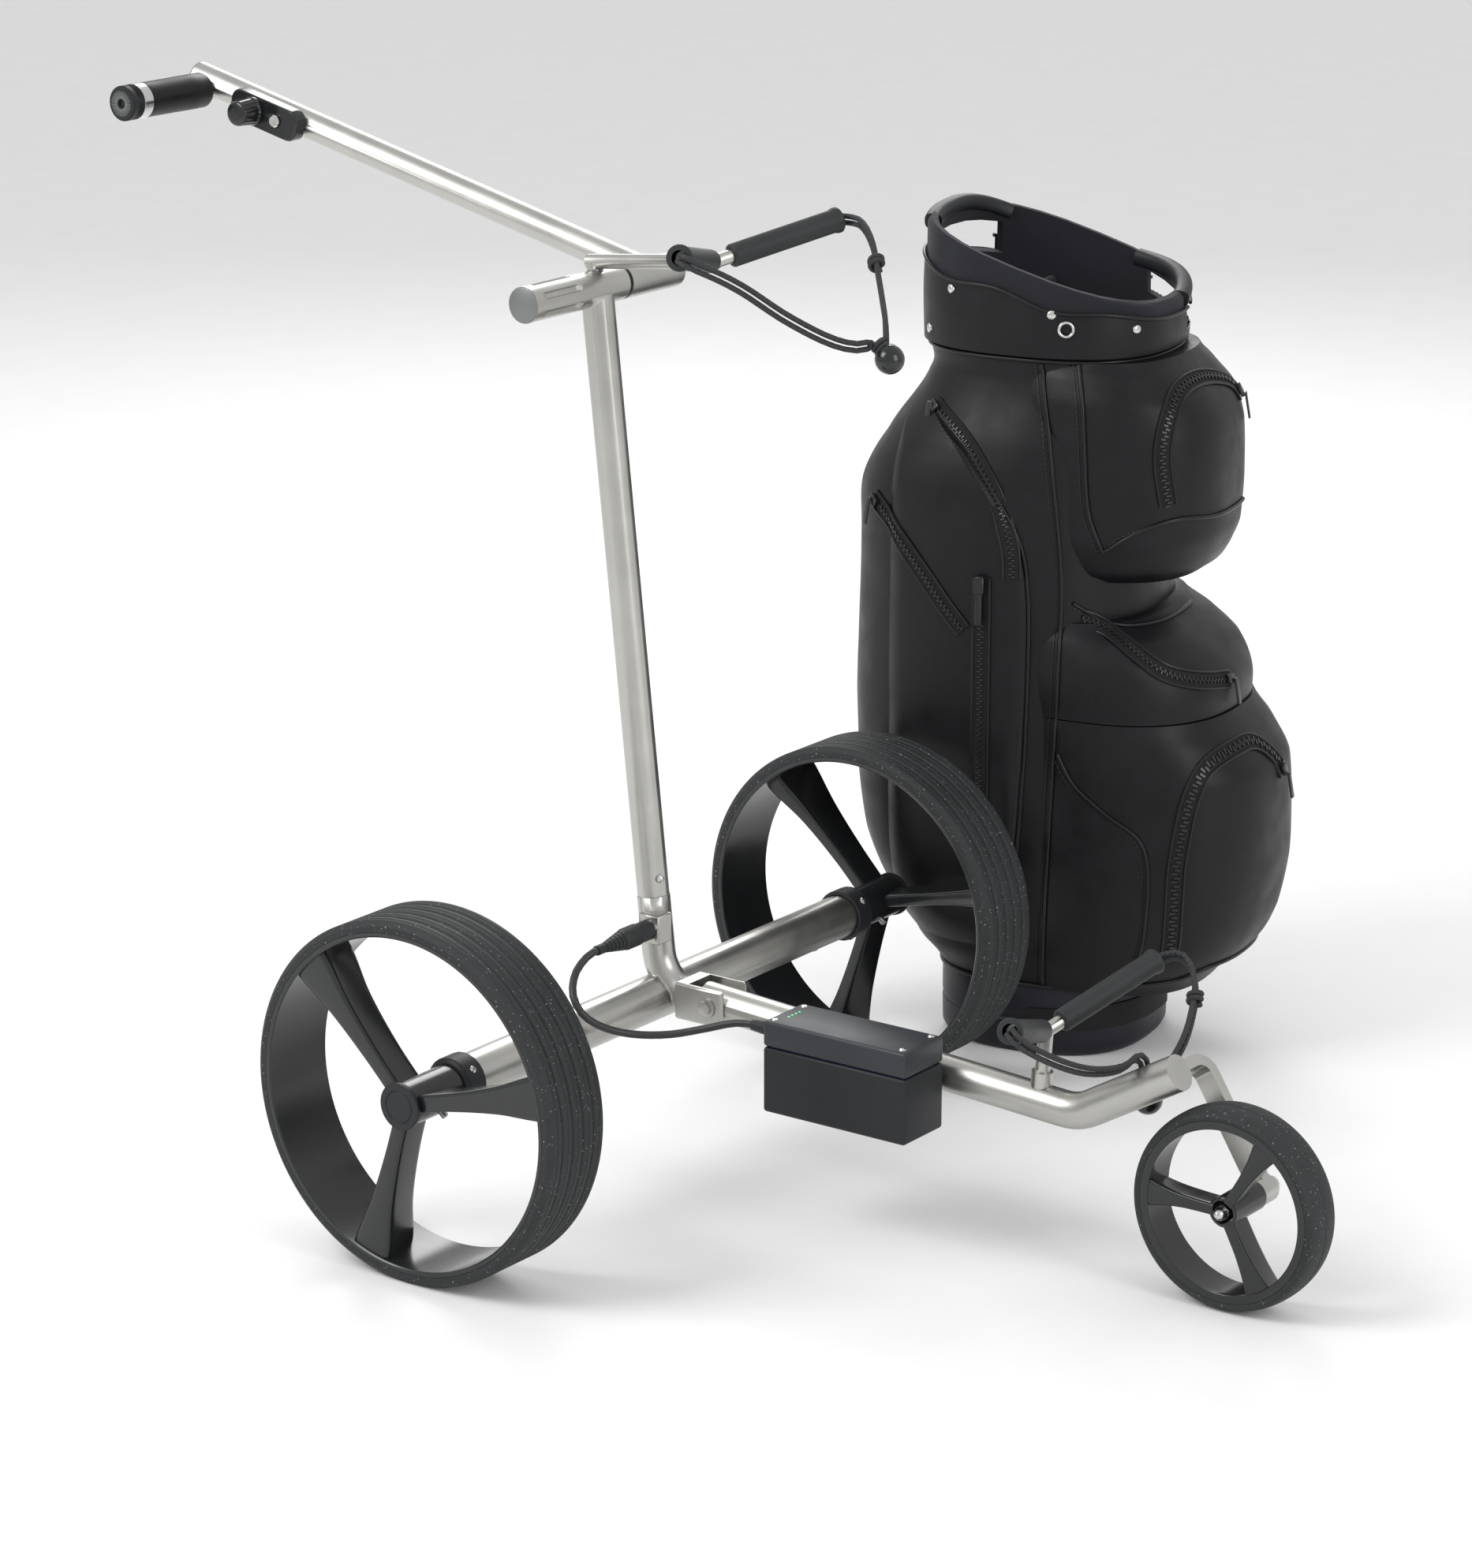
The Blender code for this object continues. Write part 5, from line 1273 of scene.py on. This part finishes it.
zips = {
    "shoulderZip": ([
        (0.094, -0.087, 0.586), (0.122, -0.050, 0.562), (0.132, -0.016, 0.521), (0.132, 0.002, 0.478),
        (0.131, 0.005, 0.446),
    ], 1.0, False),
    "rearZip": ([
        (0.099, -0.130, 0.500), (0.126, -0.112, 0.478), (0.133, -0.082, 0.446), (0.134, -0.056, 0.415),
        (0.135, -0.039, 0.396),
    ], 1.0, False),
    "ballZip": ([
        (0.098, 0.059, 0.410), (0.092, 0.075, 0.404), (0.095, 0.097, 0.392), (0.090, 0.129, 0.369),
        (0.063, 0.152, 0.357), (0.017, 0.165, 0.349),
    ], 1.0, True),
    "lowerZip": ([
        (0.098, 0.146, 0.113), (0.104, 0.151, 0.161), (0.104, 0.154, 0.207), (0.098, 0.165, 0.265),
        (0.078, 0.174, 0.290), (0.030, 0.188, 0.298), (0.005, 0.199, 0.285), (-0.010, 0.205, 0.262),
    ], 1.5, True),
    "upperZip": ([
        (0.081, 0.128, 0.515), (0.085, 0.123, 0.565), (0.062, 0.119, 0.605), (0.019, 0.120, 0.615),
        (-0.026, 0.129, 0.606), (-0.044, 0.136, 0.590),
    ], 1.2, True),
}


def mirrored(points):
    return [(-side, ahead, height) for side, ahead, height in points]


def addSeams():
    for name, points in seams.items():
        addPiping(name, points)
        addStitches(name + "Thread", [(s, a - 0.0055, z) for s, a, z in points])
    for name in ("mainPiping", "slantPiping", "upperPiping"):
        addPiping(name + "Left", mirrored(seams[name]))
        addStitches(name + "LeftThread", [(s, a - 0.0055, z) for s, a, z in mirrored(seams[name])])
    for name, (points, coarse, reverse) in zips.items():
        addZip(name, points, coarse, reverse)
    line = -0.022
    addZip("sideZip", [
        (0.135, line, 0.446), (0.135, line, 0.380), (0.135, line, 0.280), (0.134, line, 0.160),
    ], pull=False)
    rings = (("hem", 0.0665, 0.0006, 0.0022), ("waist", 0.634, 0.0010, 0.0020))
    for label, height, grow, radius in rings:
        side, front, middle = blendStations(bag["body"], height)
        ring = [bagPlace @ ovalSpot(i / 96, side + grow, front + grow, middle, height) for i in range(97)]
        settle(bar(ring, radius * 2, radius * 2, 2.0, 10), label + "Piping", piped, "bag")


addSeams()
print("seams ready")


# collar, handles and dividers
# each window's left, right, rear and front limits, and how far below the rim it ends and starts
windows = (
    (-0.072, 0.030, -0.160, -0.092, 0.044, 0.016),
    (-0.150, -0.030, 0.040, 0.150, 0.032, 0.013),
)


def inWindow(point):
    for left, right, rear, fore, deep, top in windows:
        drop = rimHeight(point.y) - point.z
        if left < point.x < right and rear < point.y < fore and top < drop < deep:
            return True
    return False


def pileShows(ahead):
    # how much of the pile shows above the leatherette band
    return max(0.011, 0.023 - 0.095 * ahead + 0.0035 * math.sin(ahead * 62))


def addCollar():
    size = bag["collar"]
    carried("bag_collar", pile, "bag", 0.0015)

    def spot(u, v):
        flat = ovalSpot(u, size["side"], size["front"], size["middle"], 0)
        bottom = bag["top"] + 0.001
        height = bottom + (rimHeight(flat.y) - pileShows(flat.y) - bottom) * v
        grow = 0.0012 + 0.0009 * math.sin(math.pi * v)
        out = Vector((flat.x, flat.y - size["middle"], 0)).normalized()
        return Vector((flat.x, flat.y, height)) + out * (grow + soft(flat + zWay * height, 0.0006))

    bm = wrapped(144, 30, spot, capped=False)
    cut = [f for f in bm.faces if any(inWindow(v.co) for v in f.verts)]
    bmesh.ops.delete(bm, geom=cut, context="FACES")
    bmesh.ops.recalc_face_normals(bm, faces=bm.faces)
    bmesh.ops.solidify(bm, geom=list(bm.faces), thickness=0.0011)
    bagPiece(bm, "collarBand", hide, (), 60)
    for name, start, end in (("backHandle", 287, 223), ("frontHandle", 164, 100)):
        path = []
        for i in range(41):
            u = (start + (end - start) * i / 40) / 360
            flat = ovalSpot(u, size["side"] - 0.0045, size["front"] - 0.0045, size["middle"], 0)
            arch = 0.0060 * math.sin(math.pi * i / 40)
            path.append(bagPlace @ Vector((flat.x, flat.y, rimHeight(flat.y) - 0.0072 + arch)))
        settle(bar(path, 0.0155, 0.0150, 2.8, 28), name, plastic, "bag")
    runs = [[]]
    for i in range(241):
        u = (i / 240 + 0.5) % 1.0
        flat = ovalSpot(u, size["side"] + 0.0016, size["front"] + 0.0016, size["middle"], 0)
        height = rimHeight(flat.y) - pileShows(flat.y)
        if inWindow(Vector((flat.x, flat.y, height))):
            if runs[-1]:
                runs.append([])
        else:
            runs[-1].append(bagPlace @ Vector((flat.x, flat.y, height)))
    for i, run in enumerate(run for run in runs if len(run) > 3):
        settle(bar(run, 0.0034, 0.0034, 2.0, 10), f"collarPiping{i}", piped, "bag")


def addDividers():
    carried("bag_divider", pile, "bag")
    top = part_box("bag_divider")[1].z
    rolls = {"crossRoll": ((-0.086, -0.052), (0.086, -0.052)), "middleRoll": ((0, -0.052), (0, 0.086))}
    for name, points in rolls.items():
        start, end = [bagPlace @ Vector((x, y, top)) for x, y in points]
        path = [start.lerp(end, i / 12) for i in range(13)]
        settle(bar(path, 0.010, 0.010, 2.0, 16), name, pile, "bag")


def addTrim():
    rivets = [
        (0.096, -0.059, 0.690), (0.100, 0.015, 0.676), (0.060, 0.087, 0.662), (0.076, -0.090, 0.650),
        (-0.096, -0.059, 0.690), (-0.076, -0.090, 0.650),
    ]
    size = bag["collar"]
    for i, (x, y, z) in enumerate(rivets):
        u = math.atan2(y - size["middle"], x) / math.tau
        flat = ovalSpot(u, size["side"] + 0.002, size["front"] + 0.002, size["middle"], z)
        out = Vector((flat.x, flat.y - size["middle"], 0)).normalized()
        turnedPiece(f"rivet{i}", bagPlace @ flat, bagTurn.to_3x3() @ out, [
            (-0.001, 0.0042), (0.0004, 0.0042), (0.0012, 0.0036), (0.0017, 0.0020), (0.0018, 0),
        ], bright, "bag", (), 28)
    u = math.atan2(0.0375, 0.099) / math.tau
    flat = ovalSpot(u, size["side"] + 0.0035, size["front"] + 0.0035, size["middle"], 0.664)
    out = (bagPlace.to_3x3() @ Vector((flat.x, flat.y - size["middle"], 0))).normalized()
    around = [math.tau * i / 12 for i in range(13)]
    ring = [(0.0014 * math.sin(a), 0.0062 + 0.0014 * math.cos(a)) for a in around]
    turnedPiece("towelRing", bagPlace @ flat, out, ring, bright, "bag", (), 40)
    strap = []
    for i in range(33):
        u = (5 + 100 * i / 32) / 360
        flat = ovalSpot(u, 0.0990, 0.0990, 0, 0.034 + 0.004 * math.sin(math.pi * i / 32))
        strap.append(bagPlace @ flat)
    normals = [(p - Vector((bagFoot.x, bagFoot.y, p.z))).normalized() for p in strap]
    settle(ribbon(strap, normals, 0.022, 0.0016), "footStrap", webbing, "bag")


addCollar()
addDividers()
addTrim()
print("bag finished")
